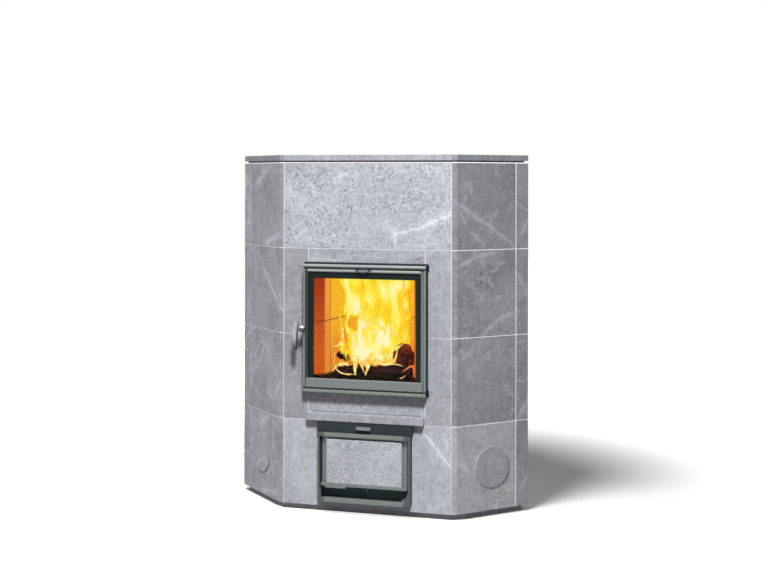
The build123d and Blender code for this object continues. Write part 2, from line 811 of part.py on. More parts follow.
ash_leaf = even_block(ash_leaf_half, ahead(ash_leaf_front), ahead(ash_leaf_back),
                      ash_leaf_bottom, ash_leaf_top)
lip = even_block(ash_leaf_half, ahead(lip_front), ahead(ash_leaf_back), lip_bottom, panel_bottom)
lip = fillet(lip.faces().sort_by(Axis.Y)[0].edges().filter_by(Axis.X), lip_round)
ash_leaf += lip
for side, side_name in SIDES:
    ends = (side * ash_leaf_half, side * (ash_leaf_half - rail_fold))
    ash_leaf += block(min(ends), max(ends), ahead(rail_fold_ahead), ahead(ash_leaf_front),
                      panel_bottom, ash_leaf_top)
for side, side_name in SIDES:
    ends = (side * ash_leaf_half, side * (ash_leaf_half - ear_width))
    ash_leaf += rod_along_x(ear_radius, min(ends), max(ends), ahead(leaf_pin_ahead), leaf_pin_z)
    bore = (side * (ash_leaf_half - ear_width), side * ring_half)
    ash_leaf -= rod_along_x(leaf_pin_radius + pin_gap, min(bore), max(bore),
                            ahead(leaf_pin_ahead), leaf_pin_z)
save("ash_leaf", ash_leaf)

grip = block(grip_left, grip_right, ahead(grip_front), ahead(lip_front), grip_bottom, grip_top)
grip += block(grip_left, grip_right, ahead(lip_front), ahead(ash_leaf_front),
              grip_bottom, lip_bottom)
save("ash_leaf_grip", grip)

panel = even_block(panel_half, ahead(panel_front), ahead(ash_leaf_front), panel_bottom, panel_top)
panel_edge = 1
panel = chamfer(panel.faces().sort_by(Axis.Y)[0].edges(), panel_edge)
save("ash_leaf_stone", panel)

# Kick plate behind the lower slot, held by one screw and open below for air
kick_behind = 10
kick_thick = 3
kick_top = 95
kick_foot_gap = 6
screw_radius = 3.5
screw_ahead = 2
screw_x = 2.5
screw_z = 81
kick_half = ring_half - ring_side
kick = even_block(kick_half, behind(kick_behind), behind(kick_behind + kick_thick),
                  ring_bottom + ring_plate + kick_foot_gap, kick_top)
screw_round = 1
screw = rod_along_y(screw_radius, screw_x, behind(kick_behind - screw_ahead),
                    behind(kick_behind), screw_z)
kick += fillet(screw.edges().group_by(Axis.Y)[0], screw_round)
save("kick_plate", kick)

# Core block: a U of refractory round the firebox, with the piers beside the ash chamber
core_gap = 3
core_inner = door_joint_x - core_gap
core_wall = 30
core_front = 58
core_back = 306
core_top = 930
chamber_side_gap = 14
chamber_half = ash_opening_half - chamber_side_gap
pier_gap = 2
pier_inner = chamber_half + pier_gap
sill_thick = 18
floor_thick = 28
floor_top = door_opening_bottom + sill_thick
floor_bottom = floor_top - floor_thick
core = even_block(core_inner + core_wall, behind(core_front), behind(core_back + core_wall),
                  plinth_height, core_top)
core -= even_block(core_inner, behind(0), behind(core_back), floor_bottom, core_top)
core -= even_block(pier_inner, behind(0), behind(core_back), plinth_height, floor_bottom)
save("core_block", core)

# Ash chamber of sheet steel, on two bearers over the air duct
chamber_sheet = 3
chamber_floor = 95
chamber_front = ring_behind
chamber_back = 300
bearer_width = 40
bearer_inner = chamber_half - bearer_width
bearers = even_block(chamber_half, behind(stone_thick), behind(chamber_back), plinth_height,
                     base_strip_top)
for side, side_name in SIDES:
    ends = (side * bearer_inner, side * chamber_half)
    bearers += block(min(ends), max(ends), behind(stone_thick), behind(chamber_back),
                     base_strip_top, chamber_floor)
save("chamber_bearers", bearers)
chamber = even_block(chamber_half, behind(chamber_front), behind(chamber_back), chamber_floor,
                     floor_bottom)
chamber -= even_block(chamber_half - chamber_sheet, behind(0),
                      behind(chamber_back - chamber_sheet), chamber_floor + chamber_sheet,
                      floor_bottom)
save("ash_chamber", chamber)

# Ash box with a bail handle
box_side_gap = 30
box_half = chamber_half - box_side_gap
box_front = 76
box_back = 282
box_height = 62
box_sheet = 2
bail_half = 40
bail_radius = 3
bail_behind = 60
box_z = chamber_floor + chamber_sheet
ash_box = even_block(box_half, behind(box_front), behind(box_back), box_z, box_z + box_height)
ash_box -= even_block(box_half - box_sheet, behind(box_front + box_sheet),
                      behind(box_back - box_sheet), box_z + box_sheet, box_z + box_height)
bail_z = box_z + box_height * half_share
ash_box += rod_along_x(bail_radius, -bail_half, bail_half, behind(bail_behind), bail_z)
for side, side_name in SIDES:
    bail_x = side * (bail_half - bail_radius)
    ash_box += rod_along_y(bail_radius, bail_x, behind(bail_behind), behind(box_front), bail_z)
save("ash_box", ash_box)

# Firebox floor with a cast grate in its middle
floor_half = core_inner - slide_gap
grate_half = 100
grate_front = 88
grate_back = 248
grate_seat = 10
grate_gap = 1
grate_thick = 20
floor_slab = even_block(floor_half, behind(core_front), behind(core_back - slide_gap),
                        floor_bottom, floor_top)
floor_slab -= even_block(grate_half - grate_seat, behind(grate_front + grate_seat),
                         behind(grate_back - grate_seat), plinth_height, floor_top)
floor_slab -= even_block(grate_half, behind(grate_front), behind(grate_back),
                         floor_top - grate_thick, floor_top)
save("firebox_floor", floor_slab)
grate_slots = 9
grate_slot_width = 8
grate_slot_pitch = 20
grate_border = 16
grate = even_block(grate_half - grate_gap, behind(grate_front + grate_gap),
                   behind(grate_back - grate_gap), floor_top - grate_thick, floor_top)
for number in range(grate_slots):
    slot_x = (number - (grate_slots - 1) * half_share) * grate_slot_pitch
    slot_left = slot_x - grate_slot_width * half_share
    grate -= block(slot_left, slot_left + grate_slot_width,
                   behind(grate_front + grate_border), behind(grate_back - grate_border),
                   floor_bottom, floor_top)
save("fire_grate", grate)

# Stones of the door throat: two splayed reveals, a sill and a head
throat_front = collar_depth
throat_back = stone_thick
reveal_edge = 2
reveal_splay = 28
reveal_front_x = fire_opening_half - reveal_edge
reveal_x = reveal_front_x - reveal_splay
reveal_depth = 42
throat_outer = jamb_inner_x
reveals = []
for side, side_name in SIDES:
    reveal_points = [
        (throat_outer, behind(throat_front)),
        (reveal_front_x, behind(throat_front)),
        (reveal_x, behind(reveal_depth)),
        (reveal_x, behind(throat_back)),
        (throat_outer, behind(throat_back)),
    ]
    reveals.append(prism(mirrored(side, reveal_points), floor_top, fire_opening_top))
throat_sill = even_block(throat_outer, behind(throat_front), behind(core_front),
                         door_opening_bottom, floor_top)
throat_head = even_block(throat_outer, behind(throat_front), behind(throat_back),
                         fire_opening_top, door_opening_top)
save("throat_stones", throat_sill, throat_head, *reveals)

# Firebox lining in two heights: front posts, side stones with an angled back corner, and backs
lining_course = 208
lining_upper = 212
lining_joint = floor_top + lining_course
lining_top = lining_joint + lining_upper
seam_line = 1.5
seam = 0.6
post_back = 88
side_taper = 23
corner_cut = 67
side_end_x = reveal_x - side_taper
side_end_depth = 205
back_end_x = side_end_x - corner_cut
back_face_depth = 268
lining_gap = 1
lining_outer = core_inner - lining_gap
lining_back = core_back - lining_gap
taper = side_taper / (side_end_depth - reveal_depth)


def side_face_x(depth):
    return reveal_x - taper * (depth - reveal_depth)


def lining_stone(side, points, inner_count, z_from, z_to):
    # The faces that look into the fire are set back along the foot to leave a seam line
    foot = []
    for number, (x, y) in enumerate(points):
        shift = seam_line if number < inner_count else 0
        foot.append((x + shift, y))
    stone = prism(mirrored(side, points), z_from + seam_line, z_to)
    return stone + prism(mirrored(side, foot), z_from, z_from + seam_line)


post_points = [
    (side_face_x(core_front), behind(core_front)),
    (side_face_x(post_back), behind(post_back)),
    (lining_outer, behind(post_back)),
    (lining_outer, behind(core_front)),
]
side_points = [
    (side_face_x(post_back + seam), behind(post_back + seam)),
    (side_end_x, behind(side_end_depth)),
    (back_end_x, behind(back_face_depth)),
    (back_end_x, behind(lining_back)),
    (lining_outer, behind(lining_back)),
    (lining_outer, behind(post_back + seam)),
]
heights = ((floor_top, lining_joint), (lining_joint, lining_top))
posts = []
side_stones = []
back_stones = []
back_half = back_end_x - seam
for z_from, z_to in heights:
    for side, side_name in SIDES:
        posts.append(lining_stone(side, post_points, 2, z_from, z_to))
        side_stones.append(lining_stone(side, side_points, 2, z_from, z_to))
    stone = even_block(back_half, behind(back_face_depth), behind(lining_back), z_from + seam_line,
                       z_to)
    stone += even_block(back_half, behind(back_face_depth + seam_line), behind(lining_back), z_from,
                        z_from + seam_line)
    back_stones.append(stone)
save("lining_side_stones", *posts, *side_stones)
save("lining_back_stones", *back_stones)

# Ceiling of the firebox with the smoke slot
ceiling_thick = 30
smoke_half = 90
smoke_front = 150
smoke_back = 240
ceiling = even_block(floor_half, behind(core_front), behind(core_back - slide_gap), lining_top,
                     lining_top + ceiling_thick)
ceiling -= even_block(smoke_half, behind(smoke_front), behind(smoke_back), floor_top, core_top)
save("firebox_ceiling", ceiling)

# Flue collar through the keystone at the back
flue_flange_radius = 95
flue_flange_thick = 4
flue_inside = 20
flue_outer = flue_radius + flue_wall
flue_start = keystone_inner[1] - flue_inside
flue_end = back_y + flue_ahead
collar_tube = rod_along_y(flue_outer, 0, flue_start, flue_end, flue_z)
collar_tube += rod_along_y(flue_flange_radius, 0, back_y, back_y + flue_flange_thick, flue_z)
collar_tube -= rod_along_y(flue_radius, 0, flue_start, flue_end, flue_z)
save("flue_collar", collar_tube)
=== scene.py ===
import math
import random

import bpy
from mathutils import Matrix, Vector


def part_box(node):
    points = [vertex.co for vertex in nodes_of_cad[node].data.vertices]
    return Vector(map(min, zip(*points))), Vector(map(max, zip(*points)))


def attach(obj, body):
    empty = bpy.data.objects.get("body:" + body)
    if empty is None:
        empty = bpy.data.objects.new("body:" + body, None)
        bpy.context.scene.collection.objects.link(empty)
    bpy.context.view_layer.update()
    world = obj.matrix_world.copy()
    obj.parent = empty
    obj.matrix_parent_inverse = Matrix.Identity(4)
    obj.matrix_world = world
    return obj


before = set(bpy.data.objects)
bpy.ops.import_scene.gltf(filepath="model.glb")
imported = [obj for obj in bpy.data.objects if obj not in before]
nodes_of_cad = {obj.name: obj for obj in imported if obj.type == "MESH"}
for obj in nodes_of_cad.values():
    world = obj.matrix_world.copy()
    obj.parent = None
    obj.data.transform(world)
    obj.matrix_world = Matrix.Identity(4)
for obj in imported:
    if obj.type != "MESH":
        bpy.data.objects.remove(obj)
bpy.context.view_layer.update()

scene = bpy.context.scene

# Mantle stones: honed slabs of soapstone, grey with a blue cast, laid in mortar in four courses.
# Small dark and pale flecks cover them and faint clouds change their tone. White veins and
# crooked white threads of carbonate run through them, most of all in the angled walls.


def feed(tree, made, inputs):
    # Links a socket to each named input, or gives the input a plain value
    for key, value in inputs.items():
        socket = made.inputs[key]
        if isinstance(value, bpy.types.NodeSocket):
            tree.links.new(value, socket)
        elif socket.type == "RGBA":
            socket.default_value = (*value, 1)
        else:
            socket.default_value = value


def add_node(tree, kind, inputs, **settings):
    made = tree.nodes.new("ShaderNode" + kind)
    for key, value in settings.items():
        setattr(made, key, value)
    feed(tree, made, inputs)
    return made.outputs


def calc(tree, operation, first, second=0.0, clamp=False):
    return add_node(tree, "Math", {0: first, 1: second}, operation=operation, use_clamp=clamp)[0]


def product(tree, first, *others):
    for other in others:
        first = calc(tree, "MULTIPLY", first, other)
    return first


def swing(tree, pattern, amount):
    # Turns a pattern from 0 to 1 into one that goes both ways by half the amount
    return product(tree, calc(tree, "SUBTRACT", pattern, 0.5), amount)


def ramp_up(tree, value, starts, full):
    return add_node(tree, "MapRange", {"Value": value, "From Min": starts, "From Max": full},
                    interpolation_type="SMOOTHSTEP")[0]


def near(tree, value, middle, outer, inner):
    # 1 within the inner distance from the middle, 0 beyond the outer one
    away = calc(tree, "ABSOLUTE", calc(tree, "SUBTRACT", value, middle))
    return ramp_up(tree, away, outer, inner)


def spread(tree, value, low, high):
    return add_node(tree, "MapRange", {"Value": value, "To Min": low, "To Max": high})[0]


def blend(tree, share, first, second):
    return add_node(tree, "Mix", {0: share, 6: first, 7: second}, data_type="RGBA")[2]


def tinted(tone, share, palest=1.0):
    return [min(palest, channel * share) for channel in tone]


def noise(tree, place, scale, detail=2.0, roughness=0.5, distortion=0.0):
    return add_node(tree, "TexNoise", {"Vector": place, "Scale": scale, "Detail": detail,
                                       "Roughness": roughness, "Distortion": distortion})["Fac"]


def moved(tree, place, shift=(0, 0, 0), turn=(0, 0, 0), stretch=(1, 1, 1), kind="POINT"):
    return add_node(tree, "Mapping", {"Vector": place, "Location": shift, "Rotation": turn,
                                      "Scale": stretch}, vector_type=kind)[0]


def axes_of(tree, place):
    return add_node(tree, "SeparateXYZ", {0: place})


def bumps(tree, height, distance, strength=1.0):
    return add_node(tree, "Bump", {"Height": height, "Distance": distance,
                                   "Strength": strength})[0]


def new_group(name, inputs, outputs):
    group = bpy.data.node_groups.new(name, "ShaderNodeTree")
    for way, sockets in (("INPUT", inputs), ("OUTPUT", outputs)):
        for key, kind in sockets.items():
            group.interface.new_socket(key, in_out=way, socket_type="NodeSocket" + kind)
    return (group, group.nodes.new("NodeGroupInput").outputs,
            group.nodes.new("NodeGroupOutput"))


def new_material(name):
    made = bpy.data.materials.new(name)
    made.use_nodes = True
    tree = made.node_tree
    tree.nodes.clear()
    shader = tree.nodes.new("ShaderNodeBsdfPrincipled")
    add_node(tree, "OutputMaterial", {"Surface": shader.outputs[0]})
    return made, tree, shader, add_node(tree, "TexCoord", {})["Object"]


def dress(material, *names):
    for name in names:
        mesh = nodes_of_cad[name].data
        if not mesh.materials:
            mesh.materials.append(material)
        for index in range(len(mesh.materials)):
            mesh.materials[index] = material


# How close together each pattern of the stone lies, in features to the metre
CLOUD_SCALE = 6.0
PATCH_SCALE = 7.0
FLECK_SCALE = 118.0
MOTTLE_SCALE = 42.0
STREAK_SCALE = 60.0
GRAIN_SCALE = 420.0
THREAD_SCALE = 6.5
FLECK_TILT = math.radians(38)
stone_group, got, out = new_group("soapstone", {
    "Vector": "Vector", "Base": "Color", "Fleck": "Color", "Pale": "Color", "Flecks": "Float",
    "Streaks": "Float", "Clouds": "Float", "Fineness": "Float", "Web": "Float",
}, {"Color": "Color", "Roughness": "Float", "Height": "Float"})
tree = stone_group
place = got["Vector"]
cloud = noise(tree, place, CLOUD_SCALE, 6.0, 0.62, 0.5)
patch = noise(tree, moved(tree, place, (3.1, 1.7, 0.4)), PATCH_SCALE, 4.0, 0.6, 0.8)
tilted = moved(tree, place, turn=(0, FLECK_TILT, 0), stretch=(1.0, 1.0, 0.80))
fine = product(tree, got["Fineness"], FLECK_SCALE)
dark_spot = ramp_up(tree, noise(tree, tilted, fine, 3.0, 0.6, 0.5), 0.49, 0.62)
pale_spot = ramp_up(tree, noise(tree, moved(tree, tilted, (7.0, 2.0, 5.0)), fine, 3.5, 0.62, 0.7),
                    0.50, 0.64)
mottle = noise(tree, moved(tree, place, (1.0, 4.0, 2.0)), MOTTLE_SCALE, 5.0, 0.68, 0.5)
streak = noise(tree, moved(tree, place, stretch=(1.0, 1.0, 0.09)), STREAK_SCALE, 4.0, 0.6, 0.2)
grain = noise(tree, place, GRAIN_SCALE)
dark_share = product(tree, dark_spot, ramp_up(tree, patch, 0.36, 0.56), got["Flecks"])
pale_share = product(tree, pale_spot, got["Flecks"], 0.85)

# The threads are seams between crooked cells, kept in some places and broken by the mottle
crook = add_node(tree, "TexNoise", {"Vector": place, "Scale": 13.0, "Detail": 5.0,
                                    "Roughness": 0.62})["Color"]
crooked = add_node(tree, "VectorMath", {0: crook, 1: (0.13, 0.13, 0.13), 2: place},
                   operation="MULTIPLY_ADD")[0]
threads = add_node(tree, "TexVoronoi", {"Vector": crooked, "Scale": THREAD_SCALE},
                   feature="DISTANCE_TO_EDGE")["Distance"]
web_place = noise(tree, moved(tree, place, (5.2, 0.3, 1.9)), 5.0, 3.0, 0.6, 0.3)
web = product(tree, ramp_up(tree, threads, 0.060, 0.006), ramp_up(tree, web_place, 0.47, 0.58),
              ramp_up(tree, mottle, 0.34, 0.50), got["Web"])
colour = got["Base"]
for pattern, starts, full, amount, tone in [
        (cloud, 0.46, 0.72, got["Clouds"], "Pale"), (cloud, 0.52, 0.30, got["Clouds"], "Fleck"),
        (mottle, 0.50, 0.68, 0.46, "Pale"), (mottle, 0.50, 0.32, 0.34, "Fleck"),
        (streak, 0.50, 0.70, got["Streaks"], "Pale"),
        (streak, 0.50, 0.30, got["Streaks"], "Fleck")]:
    share = product(tree, ramp_up(tree, pattern, starts, full), amount)
    colour = blend(tree, share, colour, got[tone])
for share, tone in [(dark_share, "Fleck"), (web, "Pale"), (pale_share, "Pale"),
                    (product(tree, grain, 0.10), "Fleck")]:
    colour = blend(tree, share, colour, got[tone])
feed(tree, out, {"Color": colour, "Roughness": spread(tree, grain, 0.55, 0.72),
                 "Height": calc(tree, "SUBTRACT", product(tree, grain, 0.4), dark_share)})

# The vein's own place runs along X from its start, with Y across it
vein_group, got, out = new_group("vein", {
    "Vector": "Vector", "Length": "Float", "Width": "Float", "Wander": "Float",
    "Strength": "Float"}, {"Mask": "Float"})
tree = vein_group
place = got["Vector"]
axes = axes_of(tree, place)
sway = swing(tree, noise(tree, place, 14.0, 5.0, 0.62), got["Wander"])
off_line = calc(tree, "ABSOLUTE", calc(tree, "ADD", axes["Y"], sway))
swell = add_node(tree, "MapRange", {"Value": noise(tree, place, 34.0, 3.0, 0.6), "From Min": 0.32,
                                    "From Max": 0.68, "To Min": 0.15, "To Max": 1.8})[0]
half_width = product(tree, swell, got["Width"], 1.6)
crumbs = ramp_up(tree, noise(tree, place, 150.0, 3.0, 0.7), 0.40, 0.60)
core = product(tree, ramp_up(tree, off_line, half_width, 0.0), spread(tree, crumbs, 0.40, 1.0))
halo = ramp_up(tree, off_line, product(tree, half_width, 4.5), 0.0)
both = calc(tree, "ADD", core, product(tree, halo, crumbs, 0.35))
fade_in = ramp_up(tree, axes["X"], -0.01, 0.03)
fade_out = ramp_up(tree, axes["X"], calc(tree, "ADD", got["Length"], 0.01),
                   calc(tree, "SUBTRACT", got["Length"], 0.02))
feed(tree, out, {"Mask": calc(tree, "MULTIPLY", product(tree, both, fade_in, fade_out),
                              got["Strength"], clamp=True)})

# Worn edges: the bevel between two faces shows the stone's paler, rubbed grain
EDGE_RADIUS = 0.003
wear_group, got, out = new_group("edge wear", {"Vector": "Vector", "Amount": "Float"},
                                 {"Mask": "Float"})
tree = wear_group
bevelled = add_node(tree, "Bevel", {"Radius": EDGE_RADIUS}, samples=4)[0]
flat = add_node(tree, "NewGeometry", {})["Normal"]
alike = add_node(tree, "VectorMath", {0: bevelled, 1: flat}, operation="DOT_PRODUCT")["Value"]
bend = ramp_up(tree, calc(tree, "SUBTRACT", 1.0, alike), 0.02, 0.2)
broken = ramp_up(tree, noise(tree, got["Vector"], 90.0, 3.0, 0.6), 0.35, 0.6)
feed(tree, out, {"Mask": product(tree, bend, broken, got["Amount"])})

STONE_TONE = (0.475, 0.492, 0.532)
CRACK_TONE = (0.07, 0.07, 0.075)
PALEST_STONE = 0.9
PALEST_VEIN = 0.92
FLECK_SHADE = 0.50
PALE_SHADE = 1.45
WORN_SHADE = 1.3
VEIN_SHADE = 1.62
SEED_STEP = (1.37, 0.71, 2.13)
TO_FRONT = Vector((0, -1, 0))
TO_LEFT = Vector((-1, -1, 0))
TO_RIGHT = Vector((1, -1, 0))
ANGLED_REACH = 0.6215
front_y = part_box("top_front_stone")[0].y


def on_face(x, z, outward):
    # A place on the front wall, or on an angled wall, where |x| - y is the same all over
    return Vector((x, front_y if outward == TO_FRONT else abs(x) - ANGLED_REACH, z))


def vein_turn(start, end, outward):
    # Puts X along the vein and Z out of the wall
    along = (end - start).normalized()
    up = outward.normalized()
    return Matrix((along, up.cross(along), up)).transposed().to_euler()


def stone_material(name, tone, seed, flecks, streaks, clouds, veins=(), outward=TO_FRONT,
                   side_shade_painted=False, fineness=1.0, web=0.0):
    made, tree, shader, place = new_material(name)
    stone = add_node(tree, "Group", {
        "Vector": moved(tree, place, [step * seed for step in SEED_STEP]),
        "Base": tinted(STONE_TONE, tone), "Fleck": tinted(STONE_TONE, tone * FLECK_SHADE),
        "Pale": tinted(STONE_TONE, tone * PALE_SHADE, PALEST_STONE), "Flecks": flecks,
        "Streaks": streaks, "Clouds": clouds, "Fineness": fineness, "Web": web,
    }, node_tree=stone_group)
    colour = stone["Color"]
    for start, end, width, wander, strength in veins:
        start, end = on_face(*start, outward), on_face(*end, outward)
        mask = add_node(tree, "Group", {
            "Vector": moved(tree, place, start, vein_turn(start, end, outward), kind="TEXTURE"),
            "Length": (end - start).length, "Width": width, "Wander": wander,
            "Strength": abs(strength)}, node_tree=vein_group)["Mask"]
        vein_tone = CRACK_TONE
        if strength > 0:
            vein_tone = tinted(STONE_TONE, tone ** 0.5 * VEIN_SHADE, PALEST_VEIN)
        colour = blend(tree, mask, colour, vein_tone)
    wear = add_node(tree, "Group", {"Vector": place, "Amount": 0.30}, node_tree=wear_group)
    worn_tone = tinted(STONE_TONE, tone * WORN_SHADE, PALEST_STONE)
    colour = blend(tree, wear["Mask"], colour, worn_tone)
    # Painted shade: faces that turn to the right are darkened halfway to black
    if side_shade_painted:
        facing = axes_of(tree, add_node(tree, "NewGeometry", {})["Normal"])
        right_face_shade = product(tree, ramp_up(tree, facing["X"], 0.2, 0.6), 0.5)
        colour = blend(tree, right_face_shade, colour, (0, 0, 0))
    feed(tree, shader, {
        "Base Color": colour, "Roughness": stone["Roughness"], "Specular IOR Level": 0.3,
        "Normal": bumps(tree, stone["Height"], 0.0006, 0.6)})
    return made


front_stones = [
    # node, tone, seed, flecks, streaks, clouds, veins. A vein has its two ends as x and z on the
    # wall, its width, how far it wanders, and its strength, which is below zero for a dark crack
    ("top_front_stone", 0.90, 1, 0.85, 0.0, 0.40, [
        ((0.085, 0.962), (0.222, 1.003), 0.0030, 0.030, 0.85),
        ((0.195, 0.995), (0.312, 1.047), 0.0062, 0.022, 1.0),
        ((0.101, 0.995), (0.104, 0.920), 0.0022, 0.020, 0.7),
        ((0.060, 1.010), (0.120, 0.960), 0.0040, 0.040, 0.45),
        ((-0.170, 0.943), (-0.050, 0.980), 0.0014, 0.020, 0.6),
        ((-0.215, 1.158), (-0.172, 1.092), 0.0034, 0.030, 0.55),
        ((-0.122, 1.155), (-0.062, 1.181), 0.0034, 0.040, 0.55),
        ((-0.300, 1.120), (-0.262, 1.125), 0.0120, 0.010, 0.45),
        ((-0.262, 0.940), (-0.200, 1.000), 0.0018, 0.040, 0.5),
    ]),
    ("lintel_stone", 0.82, 2, 0.50, 0.0, 0.45, [
        ((-0.215, 0.875), (-0.060, 0.884), 0.0016, 0.040, 0.55),
        ((-0.060, 0.890), (0.150, 0.896), 0.0010, 0.040, 0.35),
        ((0.160, 0.879), (0.205, 0.892), 0.0016, 0.012, -0.9),
    ]),
    ("jamb_stones_left", 0.68, 3, 0.35, 0.14, 0.30, []),
    ("jamb_stones_right", 0.80, 4, 0.40, 0.22, 0.30, []),
    ("sill_stone", 0.86, 5, 0.55, 0.10, 0.30, []),
    ("base_stone_left", 1.0, 6, 0.50, 0.16, 0.35, []),
    ("base_stone_right", 0.98, 7, 0.40, 0.12, 0.30, [
        ((0.200, 0.298), (0.306, 0.176), 0.0040, 0.022, 0.95),
        ((0.268, 0.300), (0.306, 0.200), 0.0018, 0.030, 0.6),
    ]),
    ("base_strip", 0.78, 8, 0.30, 0.0, 0.2, []),
    ("hearth_shelf", 0.79, 9, 0.35, 0.20, 0.25, []),
]
left_stones = [
    ("angled_stone_left_4", 0.78, 21, 0.35, 0.0, 0.30, [
        ((-0.466, 1.130), (-0.385, 1.210), 0.0035, 0.020, 0.90),
        ((-0.410, 0.922), (-0.318, 0.966), 0.0078, 0.040, 0.80),
    ]),
    ("angled_stone_left_3", 0.80, 22, 0.35, 0.0, 0.35, [
        ((-0.422, 0.850), (-0.304, 0.690), 0.0043, 0.020, 0.90),
        ((-0.350, 0.905), (-0.310, 0.700), 0.0023, 0.030, 0.55),
    ]),
    ("angled_stone_left_2", 0.84, 23, 0.40, 0.05, 0.35, [
        ((-0.350, 0.380), (-0.310, 0.450), 0.0051, 0.030, 0.70),
        ((-0.400, 0.400), (-0.340, 0.370), 0.0059, 0.040, 0.55),
    ]),
    ("angled_stone_left_1", 0.92, 24, 0.40, 0.0, 0.35, [
        ((-0.438, 0.262), (-0.378, 0.314), 0.0043, 0.014, 1.00),
        ((-0.425, 0.032), (-0.330, 0.052), 0.0078, 0.030, 0.75),
    ]),
    ("back_stones_left", 0.90, 25, 0.20, 0.1, 0.30, []),
    ("cleaning_plug_left", 0.95, 54, 0.20, 0.0, 0.25, []),
]
right_stones = [
    ("angled_stone_right_4", 0.91, 31, 0.35, 0.0, 0.22, [
        ((0.318, 1.080), (0.432, 0.979), 0.0057, 0.020, 1.00),
        ((0.425, 0.985), (0.492, 0.925), 0.0048, 0.030, 0.80),
        ((0.321, 1.060), (0.346, 0.994), 0.0043, 0.020, 0.70),
        ((0.350, 0.986), (0.402, 0.926), 0.0048, 0.030, 0.80),
    ]),
    ("angled_stone_right_3", 0.98, 32, 0.55, 0.0, 0.35, [
        ((0.320, 0.860), (0.370, 0.890), 0.0061, 0.020, 0.95),
        ((0.365, 0.889), (0.430, 0.908), 0.0057, 0.015, 0.95),
        ((0.389, 0.620), (0.425, 0.661), 0.0039, 0.012, 1.00),
        ((0.420, 0.656), (0.466, 0.695), 0.0061, 0.020, 1.00),
        ((0.445, 0.672), (0.488, 0.698), 0.0061, 0.050, 0.80),
    ]),
    ("angled_stone_right_2", 0.98, 33, 0.45, 0.06, 0.30, []),
    ("angled_stone_right_1", 1.40, 34, 0.40, 0.0, 0.30, [
        ((0.314, 0.205), (0.356, 0.160), 0.0061, 0.030, 0.80),
    ]),
    ("back_stones_right", 0.98, 35, 0.18, 0.1, 0.20, [
        ((0.503, 0.950), (0.530, 1.026), 0.0043, 0.010, 0.90),
        ((0.492, 0.842), (0.529, 0.755), 0.0043, 0.008, 0.80),
        ((0.495, 0.320), (0.530, 0.390), 0.0057, 0.010, 0.90),
        ((0.500, 0.064), (0.530, 0.130), 0.0048, 0.010, 0.80),
    ]),
    ("cleaning_plug_right", 1.15, 55, 0.35, 0.05, 0.2, []),
    ("back_keystones", 0.93, 41, 0.2, 0.1, 0.3, []),
    ("flue_keystone", 0.93, 42, 0.2, 0.1, 0.3, []),
]
for wall, outward, cloud_gain, web in [
        (front_stones, TO_FRONT, 1.0, 0.20), (left_stones, TO_LEFT, 1.6, 0.95),
        (right_stones, TO_RIGHT, 1.6, 0.95)]:
    for name, tone, seed, flecks, streaks, clouds, veins in wall:
        dress(stone_material(name, tone, seed, flecks, streaks, clouds * cloud_gain, veins,
                             outward, web=web), name)

# Slab, neck and plinth: sawn soapstone of one even tone, without veins. The neck and the plinth
# are set back, and the neck stays darker. The slab and the neck carry painted shade on their
# faces that turn to the right. The ash door's stone is sawn too, with finer flecks.
dress(stone_material("slab", 0.80, 51, 0.14, 0.30, 0.15, side_shade_painted=True), "top_slab")
dress(stone_material("neck", 0.44, 52, 0.10, 0.0, 0.15, side_shade_painted=True), "slab_neck")
dress(stone_material("plinth", 1.0, 53, 0.12, 0.0, 0.2), "plinth")
dress(stone_material("ash_door_stone", 1.02, 56, 0.85, 0.0, 0.30, fineness=1.7), "ash_leaf_stone")

# Mortar: a pale lime mix, struck a little behind the faces of the stones. A painted shadow
# darkens the joint above the ledge, and painted shade makes the front's joints a little greyer
# than the rest.
MORTAR_TONE = (0.75, 0.765, 0.80)
SAND_TONE = (0.59, 0.61, 0.645)
DAMP_TONE = (0.62, 0.64, 0.68)
LEDGE_SHADOW_TONE = (0.24, 0.25, 0.265)
LEDGE_SHADOW_REACH = 0.0035
LEDGE_SHADOW_FADE = 0.0015
made, tree, shader, place = new_material("mortar")
sand = noise(tree, place, 900.0, 2.0, 0.6)
damp = ramp_up(tree, noise(tree, place, 7.0, 3.0), 0.45, 0.7)
colour = blend(tree, product(tree, sand, 0.30), MORTAR_TONE, SAND_TONE)
colour = blend(tree, product(tree, damp, 0.25), colour, DAMP_TONE)
shelf_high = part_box("hearth_shelf")[1]
corner_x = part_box("angled_stone_right_4")[0].x
axes = axes_of(tree, place)
# Painted shadow: the mortar along the joint above the ledge is darkened
ledge_shadow = product(
    tree, near(tree, axes["Z"], shelf_high.z, LEDGE_SHADOW_REACH + LEDGE_SHADOW_FADE, LEDGE_SHADOW_REACH),
    near(tree, axes["X"], 0, shelf_high.x - 0.0025, shelf_high.x - 0.0175))
colour = blend(tree, ledge_shadow, colour, LEDGE_SHADOW_TONE)
# Painted shade: the joints on the front wall are darkened towards black
front_joint_shade = near(tree, axes["X"], 0, corner_x + 0.002, corner_x)
colour = blend(tree, product(tree, front_joint_shade, 0.36), colour, (0, 0, 0))
feed(tree, shader, {"Base Color": colour, "Normal": bumps(tree, sand, 0.0005), "Roughness": 0.9})
dress(made, "mortar_joints")

# Door and ash unit: cast and sheet steel in a grey-green heat-proof paint, with a fine orange
# peel and bare rubbed edges. The frame behind, the cover and the inner sheets are near black.
GREY_PAINT = (0.180, 0.203, 0.198)
PALE_PAINT = (0.46, 0.49, 0.49)
DARK_PAINT = (0.014, 0.021, 0.023)


